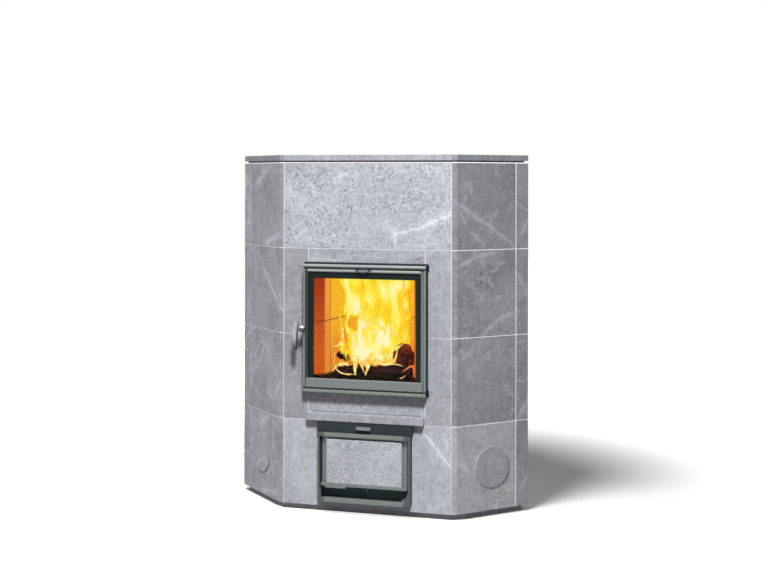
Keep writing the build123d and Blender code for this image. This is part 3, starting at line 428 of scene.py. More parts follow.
def paint_material(name, base=GREY_PAINT, shades=(), roughness=0.42, metallic=0.2, worn=0.5,
                   gloss=0.3):
    # shades: bands of another tone, most of them painted highlights and painted shade. Each is an
    # axis, or its distance from the middle, the places along it where a tone starts and is full,
    # the tone's share and the tone
    made, tree, shader, place = new_material(name)
    peel = noise(tree, place, 700.0)
    dust = noise(tree, place, 22.0, 4.0, 0.6)
    wear = add_node(tree, "Group", {"Vector": place, "Amount": worn}, node_tree=wear_group)
    colour = blend(tree, product(tree, dust, 0.22), base, tinted(base, 0.62))
    colour = blend(tree, wear["Mask"], colour, tinted(base, 2.0))
    axes = axes_of(tree, place)
    for axis, starts, full, share, tone in shades:
        along = axes[axis.strip("|")]
        if axis.startswith("|"):
            along = calc(tree, "ABSOLUTE", along)
        share = product(tree, ramp_up(tree, along, starts, full), share)
        colour = blend(tree, share, colour, tone)
    feed(tree, shader, {
        "Base Color": colour, "Roughness": spread(tree, dust, roughness - 0.06, roughness + 0.10),
        "Normal": bumps(tree, peel, 0.0002, 0.5), "Metallic": metallic,
        "Specular IOR Level": gloss})
    return made


leaf_low, leaf_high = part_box("door_leaf")
trim_low, trim_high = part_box("door_trim")
rail_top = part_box("door_lower_rail")[1].z
slide_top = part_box("door_air_slide")[1].z
fixed_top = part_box("door_fixed_frame")[1].z
ash_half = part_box("ash_frame")[1].x
kick_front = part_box("kick_plate")[0].y
dress(paint_material("door_casting", (0.200, 0.226, 0.222), [
    # Painted highlight along the leaf's top edge, and painted shade on all that lies set back
    # behind the bead
    ("Z", leaf_high.z - 0.007, leaf_high.z - 0.003, 0.75, PALE_PAINT),
    ("Y", leaf_low.y + 0.0068, leaf_low.y + 0.0076, 1.0, DARK_PAINT)]), "door_leaf")
dress(paint_material("trim_paint", GREY_PAINT, [
    # Painted shade on the left side strip, and a painted highlight along the top strip
    ("X", trim_low.x + 0.0100, trim_low.x + 0.0083, 1.0, (0.024, 0.032, 0.032)),
    ("Z", trim_high.z - 0.0065, trim_high.z - 0.0035, 0.70, PALE_PAINT)]), "door_trim")
dress(paint_material("rail_paint", GREY_PAINT, [
    # Painted highlight along the rail's top edge
    ("Z", rail_top - 0.0015, rail_top, 0.60, PALE_PAINT)]), "door_lower_rail")
dress(paint_material("tab_paint", (0.15, 0.168, 0.168), [
    # Painted shade on the tab's ends, on its upper and lower parts and on the bar set back in the
    # groove, leaving a lit middle
    ("|X|", 0.012, 0.023, 1.0, DARK_PAINT),
    ("Z", slide_top - 0.0110, slide_top - 0.0135, 1.0, DARK_PAINT),
    ("Z", slide_top - 0.0080, slide_top - 0.0055, 0.9, DARK_PAINT),
    ("Y", leaf_low.y + 0.0022, leaf_low.y + 0.0035, 1.0, DARK_PAINT),
], 0.40, 0.1, 0.4), "door_air_slide")
dress(paint_material("frame_paint", (0.006, 0.010, 0.011), [
    # Painted highlight along the frame's top edge
    ("Z", fixed_top - 0.009, fixed_top - 0.007, 1.0, (0.034, 0.044, 0.047)),
], 0.6, 0.0, 0.30, 0.10), "door_fixed_frame")
dress(paint_material("ash_frame_paint", GREY_PAINT, [
    # Painted shade on the frame's outer sides
    ("|X|", ash_half - 0.022, ash_half - 0.0195, 0.62, DARK_PAINT)]), "ash_frame",
    "ash_frame_gussets")
dress(paint_material("grey_paint"), "ash_leaf", "ash_leaf_grip")
dress(paint_material("knob_paint", GREY_PAINT, (), 0.35, 0.3, 0.6), "air_regulator")
dress(paint_material("cover_paint", (0.028, 0.036, 0.039), (), 0.6, 0.0, 0.35, 0.15), "ash_cover")
dress(paint_material("kick_paint", (0.085, 0.130, 0.140), [
    ("Y", kick_front + 0.0009, kick_front + 0.0006, 1.0, PALE_PAINT),
], 0.6, 0.0, 0.35, 0.12), "kick_plate")
dress(paint_material("dark_paint", DARK_PAINT, (), 0.6, 0.0, 0.35, 0.12), "ash_chamber",
      "ash_box", "plug_cup_left", "plug_cup_right")

# Spindle and pins: turned steel with a satin finish. The handle is forged of the same steel. Its
# colour carries painted light: a painted highlight on the ball, and painted shade on the lever's
# right side, towards its tip and on the underside of the ball.
spindle_low, spindle_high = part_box("latch_spindle")
handle_z = (spindle_low.z + spindle_high.z) / 2
BALL_LEFT_X = -0.2260
LEVER_BRIGHT_X = -0.2420
LEVER_GREY_X = -0.2320
LEVER_BRIGHT_Z = 0.632
LEVER_DARK_Z = 0.572
HANDLE_SHADE_TONE = (0.016, 0.019, 0.020)


def steel_material(name, handle_light_painted):
    made, tree, shader, place = new_material(name)
    brushed = noise(tree, moved(tree, place, stretch=(1.0, 1.0, 0.06)), 600.0, 3.0, 0.6)
    smear = noise(tree, place, 60.0, 3.0, 0.6)
    colour = blend(tree, product(tree, smear, 0.30), (0.50, 0.515, 0.515), (0.30, 0.31, 0.31))
    # Painted light: the ball is made bright as a painted highlight, and the lever's right side,
    # its lower part, its right flank and the ball's underside get painted shade
    if handle_light_painted:
        axes = axes_of(tree, place)
        facing = axes_of(tree, add_node(tree, "NewGeometry", {})["Normal"])
        on_lever = ramp_up(tree, axes["X"], BALL_LEFT_X + 0.001, BALL_LEFT_X - 0.001)
        lever_side_shade = product(tree, ramp_up(tree, axes["X"], LEVER_BRIGHT_X, LEVER_GREY_X), on_lever,
                         0.55)
        colour = blend(tree, lever_side_shade, colour, (0.16, 0.17, 0.17))
        colour = blend(tree, on_lever, (0.86, 0.88, 0.88), colour)
        lever_shade = calc(tree, "MAXIMUM",
                          ramp_up(tree, axes["Z"], LEVER_BRIGHT_Z, LEVER_DARK_Z),
                          ramp_up(tree, facing["X"], 0.05, 0.45))
        ball_shade = ramp_up(tree, axes["Z"], handle_z + 0.0065, handle_z - 0.001)
        handle_shade = add_node(tree, "Mix", {0: on_lever, 2: ball_shade, 3: lever_shade},
                        data_type="FLOAT")[0]
        colour = blend(tree, product(tree, handle_shade, 0.95), colour, HANDLE_SHADE_TONE)
    feed(tree, shader, {"Base Color": colour, "Roughness": spread(tree, brushed, 0.26, 0.42),
                        "Normal": bumps(tree, brushed, 0.0001, 0.4), "Metallic": 0.85})
    return made


dress(steel_material("handle_steel", True), "door_handle")
dress(steel_material("satin_steel", False), "latch_spindle", "door_hinge_pins", "ash_leaf_pins")

# Flue collar: a short sleeve of rolled steel in the bore of a back stone, where the flue pipe
# goes in. It is left plain, dull and slightly heat-tinted.
made, tree, shader, place = new_material("flue_steel")
tint = ramp_up(tree, noise(tree, place, 12.0, 4.0, 0.6), 0.35, 0.7)
scratch = noise(tree, moved(tree, place, stretch=(0.1, 1.0, 1.0)), 300.0, 3.0, 0.6)
feed(tree, shader, {"Base Color": blend(tree, tint, (0.36, 0.37, 0.38), (0.27, 0.26, 0.25)),
                    "Roughness": spread(tree, scratch, 0.35, 0.6), "Metallic": 0.9,
                    "Normal": bumps(tree, scratch, 0.0002)})
dress(made, "flue_collar")

# Door glass: one clear pane of glass ceramic. Its border carries a dark enamel print at the top
# and both sides, which is a thin layer of its own on the face of the pane, up to the strips.
made, tree, shader, place = new_material("door_glass")
smoke = noise(tree, place, 5.0, 3.0)
feed(tree, shader, {
    "Base Color": blend(tree, product(tree, smoke, 0.05), (1, 1, 1), (0.9, 0.86, 0.8)),
    "Roughness": spread(tree, smoke, 0.0, 0.03), "Transmission Weight": 1.0,
    "Specular IOR Level": 0.1, "IOR": 1.10})
dress(made, "door_glass")


def select_only(*pieces):
    bpy.ops.object.select_all(action="DESELECT")
    for piece in pieces:
        piece.select_set(True)
    if pieces:
        bpy.context.view_layer.objects.active = pieces[0]


def settle(piece):
    # Puts a piece's place into its mesh
    select_only(piece)
    bpy.ops.object.transform_apply(location=True, rotation=True, scale=True)


def add_box(name, low, high):
    select_only()
    centre = [(a + b) / 2 for a, b in zip(low, high)]
    bpy.ops.mesh.primitive_cube_add(size=1, location=centre)
    piece = bpy.context.object
    piece.name = name
    piece.dimensions = [b - a for a, b in zip(low, high)]
    settle(piece)
    return piece


def apply_modifier(piece, kind, **settings):
    made = piece.modifiers.new(kind.lower(), kind)
    for key, value in settings.items():
        setattr(made, key, value)
    select_only(piece)
    bpy.ops.object.modifier_apply(modifier=made.name)


PRINT_THICK = 0.0003
PRINT_GAP = 0.0005
PRINT_CLEAR_HALF = 0.183
PRINT_CLEAR_LOW = 0.455
PRINT_CLEAR_HIGH = 0.8145
PRINT_OUTER_HALF = 0.2005
PRINT_OUTER_HIGH = 0.8365
glass_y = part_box("door_glass")[0].y
print_ring = add_box("glass_print",
                     (-PRINT_OUTER_HALF, glass_y - PRINT_THICK, rail_top + PRINT_GAP),
                     (PRINT_OUTER_HALF, glass_y, PRINT_OUTER_HIGH))
cutter = add_box("print_window", (-PRINT_CLEAR_HALF, glass_y - 0.01, PRINT_CLEAR_LOW),
                 (PRINT_CLEAR_HALF, glass_y + 0.01, PRINT_CLEAR_HIGH))
apply_modifier(print_ring, "BOOLEAN", operation="DIFFERENCE", object=cutter, solver="EXACT")
bpy.data.objects.remove(cutter)
made, tree, shader, place = new_material("enamel_print")
speck = noise(tree, place, 300.0)
feed(tree, shader, {
    "Base Color": blend(tree, product(tree, speck, 0.5), (0.006, 0.012, 0.0115),
                        (0.011, 0.019, 0.018)),
    "Normal": bumps(tree, speck, 0.0001), "Roughness": 0.4, "Specular IOR Level": 0.1})
print_ring.data.materials.append(made)
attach(print_ring, "door")

# Seals: a round rope of glass fibre, glued into the groove behind the leaf, and a flat tape of
# the same fibre that keeps the glass off the steel
made, tree, shader, place = new_material("seal_rope")
twist = add_node(tree, "TexWave", {"Vector": moved(tree, place, turn=(0, math.radians(45), 0)),
                                   "Scale": 160.0, "Distortion": 1.0, "Detail": 1.0},
                 wave_type="BANDS")["Fac"]
feed(tree, shader, {"Base Color": blend(tree, twist, (0.03, 0.03, 0.03), (0.09, 0.09, 0.088)),
                    "Normal": bumps(tree, twist, 0.0008), "Roughness": 0.95})
dress(made, "door_rope_seal", "glass_tape_seal")

# Firebox lining: pressed fire stones. Their glow is painted firelight, from red-brown in the
# throat to yellow further back, and painted shade keeps them black near the floor and on the
# sill in front.
LINING_TONE = (0.08, 0.040, 0.020)
SHADED_LINING_TONE = (0.003, 0.002, 0.002)
SEAM_TONE = (0.13, 0.014, 0.002)
COURSE_JOINT_Z = 0.6588
POST_JOINT_Y = -0.2217
FOOT_GLOW_Z = 0.50
TOP_GLOW_Z = 0.74
POST_FOOT_Z = 0.55
POST_TOP_Z = 0.80
POST_CHANGE_Y = -0.2215


def lining_material(name, top_glow, foot_glow, dark_below, base=LINING_TONE, post_glow=None,
                    post_top=None, change_y=POST_CHANGE_Y, shade_fade=0.03):
    made, tree, shader, place = new_material(name)
    axes = axes_of(tree, place)
    flicker = noise(tree, moved(tree, place, stretch=(1, 1, 0.5)), 8.0, 3.0, 0.6)
    pores = noise(tree, place, 260.0, 3.0, 0.6)
    height = calc(tree, "ADD", axes["Z"], swing(tree, flicker, 0.25))
    lit = blend(tree, ramp_up(tree, height, FOOT_GLOW_Z, TOP_GLOW_Z), foot_glow, top_glow)
    if post_glow is not None:
        post_tone = blend(tree, ramp_up(tree, axes["Z"], POST_TOP_Z, POST_FOOT_Z), post_top,
                          post_glow)
        behind_posts = ramp_up(tree, axes["Y"], change_y - 0.0005, change_y + 0.0005)
        lit = blend(tree, behind_posts, post_tone, lit)
    # Painted shade: below a wavering line the glow stops and the stone turns near black
    shade_line_z = calc(tree, "ADD", axes["Z"], product(tree, flicker, shade_fade))
    unshaded = ramp_up(tree, shade_line_z, dark_below, dark_below + shade_fade)
    lit = blend(tree, unshaded, (0.002, 0.0005, 0.0003), lit)
    lit = blend(tree, product(tree, pores, 0.12), lit, (0.12, 0.02, 0.002))
    seam = calc(tree, "MAXIMUM", near(tree, axes["Z"], COURSE_JOINT_Z, 0.0034, 0.0016),
                near(tree, axes["Y"], POST_JOINT_Y, 0.0032, 0.0014))
    lit = blend(tree, product(tree, seam, 0.78), lit, SEAM_TONE)
    colour = blend(tree, product(tree, pores, 0.4), base, (0.03, 0.02, 0.014))
    feed(tree, shader, {
        "Base Color": blend(tree, unshaded, SHADED_LINING_TONE, colour), "Emission Color": lit,
        "Emission Strength": 1.0, "Normal": bumps(tree, pores, 0.0008), "Roughness": 0.95,
        "Specular IOR Level": 0.1})
    return made


dress(lining_material("lining_sides", (0.90, 0.45, 0.012), (0.74, 0.22, 0.014), 0.474,
                      post_glow=(0.78, 0.24, 0.018), post_top=(0.86, 0.32, 0.022),
                      shade_fade=0.014), "lining_side_stones")
dress(lining_material("lining_back", (0.88, 0.38, 0.012), (0.82, 0.26, 0.012), 0.462),
      "lining_back_stones", "firebox_ceiling")
dress(lining_material("throat", (0.80, 0.27, 0.020), (0.74, 0.23, 0.018), 0.474,
                      base=(0.030, 0.012, 0.004), post_glow=(0.58, 0.085, 0.003),
                      post_top=(0.36, 0.028, 0.004), change_y=-0.2680, shade_fade=0.006),
      "throat_stones")
dress(lining_material("hearth_floor", (0.001, 0.0, 0.0), (0.001, 0.0, 0.0), 0.60,
                      base=(0.006, 0.004, 0.003)), "firebox_floor")

# Logs: three split, half-burnt billets of beech on the grate, charred black with red cracks,
# and a thin stick that leans on them
EMBER_Z = 0.4505
BARK_GRAIN = 0.018
BARK_DEPTH = 0.020


def charred_log(name, start, end, radius, split_turn):
    # A round billet between two points, split lengthwise and roughened by the fire
    start, end = Vector(start), Vector(end)
    along = end - start
    select_only()
    bpy.ops.mesh.primitive_cylinder_add(vertices=22, radius=radius, depth=along.length,
                                        end_fill_type="TRIFAN")
    piece = bpy.context.object
    piece.name = name
    bpy.ops.object.mode_set(mode="EDIT")
    bpy.ops.mesh.select_all(action="SELECT")
    bpy.ops.mesh.subdivide(number_cuts=3)
    split = Vector((math.cos(split_turn), math.sin(split_turn), 0))
    bpy.ops.mesh.bisect(plane_co=split * radius * 0.45, plane_no=split, use_fill=True,
                        clear_outer=True)
    bpy.ops.mesh.select_all(action="SELECT")
    bpy.ops.mesh.quads_convert_to_tris()
    bpy.ops.mesh.subdivide(number_cuts=1)
    bpy.ops.object.mode_set(mode="OBJECT")
    piece.rotation_euler = along.to_track_quat("Z", "Y").to_euler()
    piece.location = (start + end) / 2
    settle(piece)
    rough = bpy.data.textures.new(name + "_bark", "CLOUDS")
    rough.noise_scale = BARK_GRAIN
    rough.noise_depth = 3
    apply_modifier(piece, "DISPLACE", texture=rough, strength=BARK_DEPTH, mid_level=0.5,
                   texture_coords="LOCAL")
    for corner in piece.data.vertices:
        corner.co.z = max(corner.co.z, EMBER_Z)
    bpy.ops.object.shade_smooth_by_angle(angle=math.radians(35))
    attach(piece, "heater")
    return piece


charred, tree, shader, place = new_material("charred_wood")
cells = add_node(tree, "TexVoronoi", {"Vector": place, "Scale": 75.0},
                 feature="DISTANCE_TO_EDGE")["Distance"]
burning = ramp_up(tree, noise(tree, place, 22.0, 3.0, 0.6), 0.52, 0.68)
ash_share = ramp_up(tree, noise(tree, place, 60.0, 4.0, 0.6), 0.56, 0.70)
log_z = axes_of(tree, place)["Z"]
upper_side = product(tree, ramp_up(tree, log_z, 0.530, 0.580), spread(tree, burning, 0.35, 0.85))
glow = (0.012, 0.001, 0.002)
# The last of these is painted shade: below a height the logs' glow turns near black
for share, tone in [
        (product(tree, ramp_up(tree, cells, 0.07, 0.0), burning), (0.85, 0.14, 0.006)),
        (product(tree, burning, 0.30), (0.40, 0.030, 0.008)), (upper_side, (0.50, 0.045, 0.006)),
        (ramp_up(tree, log_z, 0.482, 0.470), (0.004, 0.001, 0.001))]:
    glow = blend(tree, share, glow, tone)
feed(tree, shader, {
    "Base Color": blend(tree, ash_share, (0.003, 0.002, 0.002), (0.016, 0.008, 0.007)),
    "Emission Color": glow, "Emission Strength": 1.0, "Normal": bumps(tree, cells, 0.002),
    "Roughness": 0.9, "Specular IOR Level": 0.1})
log_runs = [
    # name, the two ends, radius, and which way the flat split side looks
    ("log_right", (-0.026, -0.168, 0.476), (0.134, -0.200, 0.484), 0.031, 2.2),
    ("log_top", (0.066, -0.116, 0.530), (0.128, -0.180, 0.540), 0.038, 0.7),
    ("log_left", (-0.138, -0.192, 0.474), (-0.050, -0.150, 0.478), 0.025, 1.2),
    ("log_stick", (-0.134, -0.188, 0.534), (-0.070, -0.110, 0.492), 0.012, 0.4),
]
for log_run in log_runs:
    charred_log(*log_run).data.materials.append(charred)

# Embers: a bed of broken coals that covers the grate under the logs, with a ridge along its
# front. Only its inner part glows, and painted shade keeps its front black.
EMBER_HALF_WIDE = 0.131
EMBER_HALF_DEEP = 0.085
EMBER_Y = -0.150
BED_THICK = 0.004
RIM_SLOPE = 0.02
RIDGE_Y = -0.205
RIDGE_HIGH = 0.012
RIDGE_WIDE = 0.018
SHELL_THICK = 0.0005
select_only()
bpy.ops.mesh.primitive_grid_add(x_subdivisions=60, y_subdivisions=44, size=1)
embers = bpy.context.object
embers.name = "ember_bed"
embers.scale = (EMBER_HALF_WIDE * 2, EMBER_HALF_DEEP * 2, 1)
embers.location = (0, EMBER_Y, 0)
settle(embers)
ember_draws = random.Random(5)
lumps = [(ember_draws.uniform(-0.12, 0.12), ember_draws.uniform(-0.22, -0.08),
          ember_draws.uniform(0.008, 0.018)) for _ in range(90)]
for corner in embers.data.vertices:
    x, y = corner.co.x, corner.co.y
    height = 0.0
    for lump_x, lump_y, lump_radius in lumps:
        away = math.hypot(x - lump_x, y - lump_y)
        if away < lump_radius:
            height = max(height, math.sqrt(lump_radius ** 2 - away ** 2) * 0.9)
    to_rim = min(EMBER_HALF_WIDE - abs(x), EMBER_HALF_DEEP - abs(y - EMBER_Y))
    ridge = RIDGE_HIGH * math.exp(-((y - RIDGE_Y) / RIDGE_WIDE) ** 2)
    risen = max(0, min(1, to_rim / RIM_SLOPE))
    corner.co.z = EMBER_Z + SHELL_THICK + risen * (BED_THICK + height + ridge)
apply_modifier(embers, "SOLIDIFY", thickness=SHELL_THICK, offset=-1)
bpy.ops.object.shade_smooth_by_angle(angle=math.radians(50))
made, tree, shader, place = new_material("embers")
heat = ramp_up(tree, noise(tree, place, 70.0, 4.0, 0.65), 0.42, 0.66)
# Painted shade: the front of the bed gets no glow
unshaded_inner = ramp_up(tree, axes_of(tree, place)["Y"], -0.165, -0.140)
feed(tree, shader, {
    "Base Color": blend(tree, heat, (0.002, 0.001, 0.001), (0.008, 0.003, 0.002)),
    "Emission Color": blend(tree, product(tree, heat, unshaded_inner), (0.001, 0.0, 0.0),
                            (0.72, 0.11, 0.005)),
    "Emission Strength": 1.0, "Normal": bumps(tree, heat, 0.002), "Roughness": 0.95,
    "Specular IOR Level": 0.1})
embers.data.materials.append(made)
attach(embers, "heater")

# Flames: five curved sheets one behind the other, from amber at the back to a pale core in
# front, and thin tongues that lick round the logs. Heat sets their colour, thin places are clear.


def tone_scale(tree, value, stops):
    # Colours one after the other along a value from 0 to 1
    made = tree.nodes.new("ShaderNodeValToRGB")
    feed(tree, made, {"Fac": value})
    steps = made.color_ramp.elements
    for position, tone in stops:
        steps.new(position).color = (*tone, 1)
    steps.remove(steps[-1])
    steps.remove(steps[0])
    return made.outputs["Color"]


flame_group, got, out = new_group("flame", {
    "Vector": "Vector", "Left": "Float", "Right": "Float", "Foot": "Float", "Top": "Float",
    "Heat": "Float", "Pale": "Float", "Ragged": "Float"}, {"Color": "Color", "Alpha": "Float"})
tree = flame_group
bend = noise(tree, moved(tree, got["Vector"], stretch=(1, 1, 0.55)), 9.0)
aside = add_node(tree, "CombineXYZ", {"X": swing(tree, bend, 0.10)})[0]
swayed = add_node(tree, "VectorMath", {0: got["Vector"], 1: aside}, operation="ADD")[0]
axes = axes_of(tree, swayed)
wisps = noise(tree, moved(tree, swayed, stretch=(1, 1, 0.24)), 27.0, 3.0, 0.5, 0.4)
billows = noise(tree, moved(tree, swayed, stretch=(1, 1, 0.5)), 11.0, 3.0, 0.55, 0.6)
tips = swing(tree, noise(tree, moved(tree, swayed, stretch=(1, 1, 0.16)), 42.0), 0.55)
licks = noise(tree, moved(tree, swayed, (4.0, 1.0, 2.0), stretch=(1, 1, 0.5)), 26.0, 3.0, 0.6, 0.8)
licks = swing(tree, licks, got["Ragged"])
ragged_x = calc(tree, "ADD", axes["X"], licks)
ragged_foot = calc(tree, "ADD", axes["Z"], product(tree, licks, 0.7))
ragged_top = calc(tree, "SUBTRACT", axes["Z"], tips)
inside = 1.0
for along, limit, outer, inner in [
        # how far from each limit the flame is out, and how far from it the flame is full
        (ragged_x, "Left", 0.0, 0.024), (ragged_x, "Right", 0.0, -0.040),
        (axes["X"], "Left", -0.006, 0.006), (axes["X"], "Right", 0.006, -0.006),
        (ragged_foot, "Foot", 0.0, 0.018), (ragged_top, "Top", 0.0, -0.16)]:
    starts, full = [calc(tree, "ADD", got[limit], step) for step in (outer, inner)]
    inside = product(tree, inside, ramp_up(tree, along, starts, full))
heat = calc(tree, "ADD", got["Heat"], swing(tree, wisps, 1.15))
heat = calc(tree, "ADD", heat, swing(tree, billows, 1.4))
for x, z, half_wide, half_high, change in [
        # the pale heart of the fire, then two cooler hollows beside it and one in its foot
        (-0.012, 0.565, 0.115, 0.100, 0.55), (-0.090, 0.640, 0.034, 0.036, -0.62),
        (0.100, 0.715, 0.030, 0.060, -0.34), (0.046, 0.545, 0.024, 0.016, -0.45)]:
    across = product(tree, calc(tree, "SUBTRACT", axes["X"], x), 1 / half_wide)
    upward = product(tree, calc(tree, "SUBTRACT", axes["Z"], z), 1 / half_high)
    apart = calc(tree, "ADD", product(tree, across, across), product(tree, upward, upward))
    heat = calc(tree, "ADD", heat, product(tree, ramp_up(tree, apart, 1.0, 0.2), change))
heat = calc(tree, "MULTIPLY", heat, inside, clamp=True)
tones = tone_scale(tree, calc(tree, "ADD", heat, got["Pale"]), [
    (0.10, (0.86, 0.34, 0.010)), (0.28, (0.92, 0.45, 0.010)), (0.45, (0.98, 0.62, 0.014)),
    (0.60, (1.0, 0.80, 0.050)), (0.76, (1.0, 0.90, 0.26)), (0.95, (1.0, 0.94, 0.58))])
hem = product(tree, ramp_up(tree, axes["Z"], 0.545, 0.490), ramp_up(tree, heat, 0.75, 0.35), 0.8)
feed(tree, out, {"Color": blend(tree, hem, tones, (0.78, 0.20, 0.012)),
                 "Alpha": ramp_up(tree, heat, 0.08, 0.46)})


def flame_material(name, left, right, foot, top, heat, pale, ragged, pattern):
    made, tree, shader, place = new_material(name)
    fire = add_node(tree, "Group", {
        "Vector": moved(tree, place, (0, pattern, 0)), "Left": left, "Right": right,
        "Foot": foot, "Top": top, "Heat": heat, "Pale": pale, "Ragged": ragged,
    }, node_tree=flame_group)
    feed(tree, shader, {
        "Base Color": (0, 0, 0), "Emission Color": fire["Color"], "Emission Strength": 1.0,
        "Alpha": fire["Alpha"], "Roughness": spread(tree, fire["Alpha"], 0.9, 1.0),
        "Specular IOR Level": 0.0})
    return made


SHEET_BELOW_FOOT = 0.022
SHEET_RIPPLE = 0.006
sheet_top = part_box("firebox_ceiling")[0].z - 0.004
flame_sheets = [
    # name, place behind, left, right, foot, top, heat, paleness, raggedness, pattern, bulge
    ("flame_back", -0.070, -0.095, 0.100, 0.490, 1.100, 0.60, 0.02, 0.02, 2.3, 0.010),
    ("flame_middle", -0.108, -0.134, 0.140, 0.490, 1.100, 0.54, 0.00, 0.05, 0.4, 0.020),
    ("flame_core", -0.146, -0.143, 0.128, 0.495, 1.000, 0.54, 0.04, 0.07, 1.1, 0.024),
    ("flame_low", -0.172, -0.150, 0.095, 0.498, 0.720, 0.34, 0.14, 0.11, 3.2, 0.012),
    ("flame_front", -0.206, -0.140, 0.055, 0.500, 0.620, 0.22, 0.22, 0.13, 5.7, 0.010),
]
for name, behind, left, right, foot, top, heat, pale, ragged, pattern, bulge in flame_sheets:
    select_only()
    bpy.ops.mesh.primitive_grid_add(x_subdivisions=26, y_subdivisions=34, size=1,
                                    rotation=(math.radians(90), 0, 0))
    sheet = bpy.context.object
    sheet.name = name
    top_edge = min(top, sheet_top)
    low_edge = foot - SHEET_BELOW_FOOT
    sheet.scale = (right - left, top_edge - low_edge, 1)
    sheet.location = ((left + right) / 2, behind, (low_edge + top_edge) / 2)
    settle(sheet)
    for corner in sheet.data.vertices:
        across = (corner.co.x - left) / (right - left)
        rise = (corner.co.z - low_edge) / (top_edge - low_edge)
        ripple = SHEET_RIPPLE * math.sin(9 * rise + 7 * across + pattern)
        corner.co.y -= bulge * math.sin(math.pi * across) - ripple
    bpy.ops.object.shade_smooth()
    sheet.data.materials.append(
        flame_material(name, left, right, foot, top, heat, pale, ragged, pattern))
    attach(sheet, "heater")

# Tongues: each is a thin tapering ribbon of flame along a curve, brightest where it is thickest.
# They all stand in one plane in front of the sheets and are joined into one piece.
TONGUE_Y = -0.220
TONGUE_RIPPLE = 0.004
MILLIMETRE = 0.001
tongue_runs = [
    # half widths of foot, middle and tip in mm, points as x and z in mm
    (0.8, 5.0, 6.0, [(-148, 566), (-134, 564), (-122, 571), (-103, 588)]),
    (5.0, 3.6, 0.6, [(-110, 575), (-107, 612), (-113, 661)]),
    (0.8, 2.0, 3.6, [(-136, 545), (-144, 515), (-138, 488), (-122, 471), (-94, 465), (-62, 467)]),
    (3.0, 5.0, 6.0, [(-128, 500), (-112, 506), (-92, 502)]),
    (0.8, 3.4, 0.8, [(-150, 474), (-138, 490), (-124, 500), (-104, 496)]),
    (1.4, 8.0, 14.0, [(-63, 466), (-67, 484), (-60, 506), (-66, 532)]),
    (0.8, 2.6, 9.0, [(-30, 474), (-35, 488), (-44, 514)]),
    (1.2, 6.0, 12.0, [(-26, 466), (-20, 484), (-13, 506), (-18, 530)]),
    (0.8, 4.4, 0.8, [(110, 486), (126, 497), (141, 508), (150, 494), (146, 466)]),
    (4.0, 7.0, 2.0, [(-20, 520), (30, 506), (64, 510), (84, 528), (88, 556)]),
    (4.0, 2.6, 0.6, [(56, 508), (84, 513), (110, 503)]),
    (6.0, 4.0, 0.6, [(84, 560), (96, 574), (112, 582)]),
    (0.8, 2.4, 0.6, [(84, 460), (104, 461), (112, 466), (124, 476)]),
]
tongues = []
for number, (foot_width, middle_width, tip_width, points) in enumerate(tongue_runs):
    line = bpy.data.curves.new("tongue_%d" % number, "CURVE")
    line.dimensions = "3D"
    line.bevel_depth = MILLIMETRE
    line.bevel_resolution = 3
    line.use_fill_caps = True
    spline = line.splines.new("NURBS")
    spline.points.add(len(points) - 1)
    for index, (x, z) in enumerate(points):
        share = index / (len(points) - 1)
        y = TONGUE_Y - TONGUE_RIPPLE * math.sin(3 * share + number)
        nearer_foot = max(0, 1 - 2 * share)
        nearer_tip = max(0, 2 * share - 1)
        spline.points[index].co = (x * MILLIMETRE, y, z * MILLIMETRE, 1)
        spline.points[index].radius = (foot_width * nearer_foot + tip_width * nearer_tip
                                       + middle_width * (1 - nearer_foot - nearer_tip))
    spline.order_u = 3
    spline.use_endpoint_u = True
    tongue = bpy.data.objects.new("tongue_%d" % number, line)
    scene.collection.objects.link(tongue)
    tongues.append(tongue)
select_only(*tongues)
bpy.ops.object.convert(target="MESH")
bpy.ops.object.join()
ribbon = bpy.context.object
ribbon.name = "flame_tongues"
bpy.ops.object.shade_smooth()
made, tree, shader, place = new_material("flame_tongues")
flicker = noise(tree, place, 45.0)
tones = tone_scale(tree, flicker, [(0.38, (0.95, 0.50, 0.030)), (0.60, (1.0, 0.90, 0.36))])
to_right = ramp_up(tree, axes_of(tree, place)["X"], 0.100, 0.125)
edge_on = add_node(tree, "LayerWeight", {"Blend": 0.5})["Facing"]
feed(tree, shader, {
    "Base Color": (0, 0, 0), "Emission Strength": 1.0,
    "Emission Color": blend(tree, to_right, tones, (0.88, 0.20, 0.030)),
    "Alpha": ramp_up(tree, edge_on, 0.88, 0.10), "Roughness": spread(tree, flicker, 0.8, 1.0),
    "Specular IOR Level": 0.0})
ribbon.data.materials.append(made)
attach(ribbon, "heater")

# Core, bearers and grate: the block round the firebox and the bars under the ash chamber are
# rough cast refractory, and the grate is rough cast iron, laid loose in the floor
made, tree, shader, place = new_material("core_casting")
lump = noise(tree, place, 40.0, 5.0, 0.7)
feed(tree, shader, {"Base Color": blend(tree, lump, (0.26, 0.24, 0.22), (0.42, 0.40, 0.37)),
                    "Normal": bumps(tree, lump, 0.002), "Roughness": 0.95})
dress(made, "core_block", "chamber_bearers")

made, tree, shader, place = new_material("grate_iron")
crust = noise(tree, place, 180.0, 4.0, 0.7)
feed(tree, shader, {"Base Color": blend(tree, crust, (0.02, 0.018, 0.016), (0.07, 0.055, 0.045)),
                    "Normal": bumps(tree, crust, 0.0012), "Roughness": 0.7, "Metallic": 0.6})
dress(made, "fire_grate")

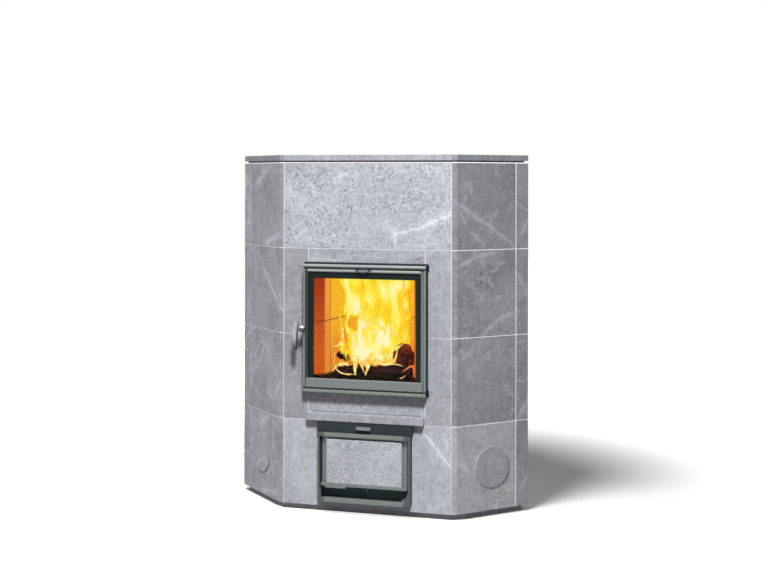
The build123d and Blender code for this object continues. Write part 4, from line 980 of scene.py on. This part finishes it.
# Camera: right of the heater's middle and nearly at the height of the slab, looking level
CAMERA_PLACE = (1.1572, -4.5385, 1.1601)
CAMERA_YAW = math.radians(15.885)
CAMERA_PITCH = math.radians(0.342)
CAMERA_ROLL = math.radians(0.121)
camera_data = bpy.data.cameras.new("camera")
camera_data.lens = 59.44
camera_data.sensor_width = 36
camera_data.shift_x = 0.03975
camera_data.shift_y = -0.1524
camera = bpy.data.objects.new("camera", camera_data)
camera.location = CAMERA_PLACE
camera.rotation_euler = (math.radians(90) + CAMERA_PITCH, -CAMERA_ROLL, CAMERA_YAW)
scene.collection.objects.link(camera)
scene.camera = camera

# Studio: a pale floor and a white surround, which the camera and reflections see at full
# strength. Both light the heater only a little, and the floor keeps the heater's shadow.
FLOOR_HALF = 14.0
FLOOR_TONE_SEEN = (0.90, 0.90, 0.90)
FLOOR_TONE_UNSEEN = (0.22, 0.22, 0.22)
FLOOR_GLOW_NEAR = 0.06
FLOOR_GLOW_IN_FRONT = 0.72
NEAR_RADIUS = 0.9
FAR_RADIUS = 2.2
AMBIENT = 0.138


def seen_directly(tree):
    rays = add_node(tree, "LightPath", {})
    by_eye = calc(tree, "MAXIMUM", rays["Is Camera Ray"], rays["Is Glossy Ray"])
    return calc(tree, "MAXIMUM", by_eye, rays["Is Transmission Ray"])


select_only()
bpy.ops.mesh.primitive_plane_add(size=FLOOR_HALF * 2, location=(0, 0, 0))
floor = bpy.context.object
floor.name = "studio_floor"
made, tree, shader, place = new_material("studio_floor")
seen = seen_directly(tree)
away = add_node(tree, "VectorMath", {0: place}, operation="LENGTH")["Value"]
glow = add_node(tree, "MapRange", {
    "Value": away, "From Min": NEAR_RADIUS, "From Max": FAR_RADIUS, "To Min": FLOOR_GLOW_NEAR,
}, interpolation_type="SMOOTHSTEP")[0]
in_front = ramp_up(tree, axes_of(tree, place)["Y"], front_y + 0.05, front_y + 0.01)
glow = calc(tree, "MAXIMUM", glow, product(tree, in_front, FLOOR_GLOW_IN_FRONT))
white = add_node(tree, "Emission", {"Color": (1, 1, 1), "Strength": product(tree, seen, glow)})
feed(tree, shader, {"Base Color": blend(tree, seen, FLOOR_TONE_UNSEEN, FLOOR_TONE_SEEN),
                    "Roughness": 0.9, "Specular IOR Level": 0.0})
summed = add_node(tree, "AddShader", {0: shader.outputs[0], 1: white[0]})[0]
feed(tree, tree.nodes["Material Output"], {"Surface": summed})
floor.data.materials.append(made)

world = bpy.data.worlds.new("studio")
scene.world = world
world.use_nodes = True
tree = world.node_tree
tree.nodes.clear()
level = spread(tree, seen_directly(tree), AMBIENT, 1.0)
sky = add_node(tree, "Background", {"Color": (1, 1, 1), "Strength": level})[0]
add_node(tree, "OutputWorld", {"Surface": sky})

# Lamps: a key lamp high in front on the right for the front wall and the door, one from the left
# for the angled walls and the mortar, a wide one for the floor, and a fill from behind.
LAMP_TARGET = Vector((0, -0.3, 0.6))


def add_lamp(name, direction, distance, size, power, state, things):
    lamp_data = bpy.data.lights.new(name, "AREA")
    lamp_data.shape = "DISK"
    lamp_data.size = size
    lamp_data.energy = power
    lamp = bpy.data.objects.new(name, lamp_data)
    towards = Vector(direction).normalized()
    lamp.location = LAMP_TARGET + towards * distance
    lamp.rotation_euler = towards.to_track_quat("Z", "Y").to_euler()
    scene.collection.objects.link(lamp)
    lit = bpy.data.collections.new(name + "_things")
    for thing in things:
        lit.objects.link(thing)
    lamp.light_linking.receiver_collection = lit
    for entry in lit.collection_objects:
        entry.light_linking.link_state = state


side_stones = [nodes_of_cad[row[0]] for row in left_stones + right_stones]
side_lit = side_stones + [nodes_of_cad["mortar_joints"]]
# name, direction from the heater, distance, width, watts, and which things it lights or leaves out
add_lamp("key_lamp", (0.37, -1.0, 1.2), 5.5, 1.0, 408, "EXCLUDE", [floor] + side_stones)
add_lamp("side_lamp", (-0.167, -1.0, 0.9), 5.0, 1.2, 192, "INCLUDE", side_lit)
add_lamp("floor_lamp", (-0.178, -0.464, 1.0), 4.4, 1.8, 300, "INCLUDE", [floor])
add_lamp("back_lamp", (0.25, 1.0, 0.9), 5.0, 2.0, 200, "EXCLUDE", [floor])

scene.view_settings.view_transform = "Standard"
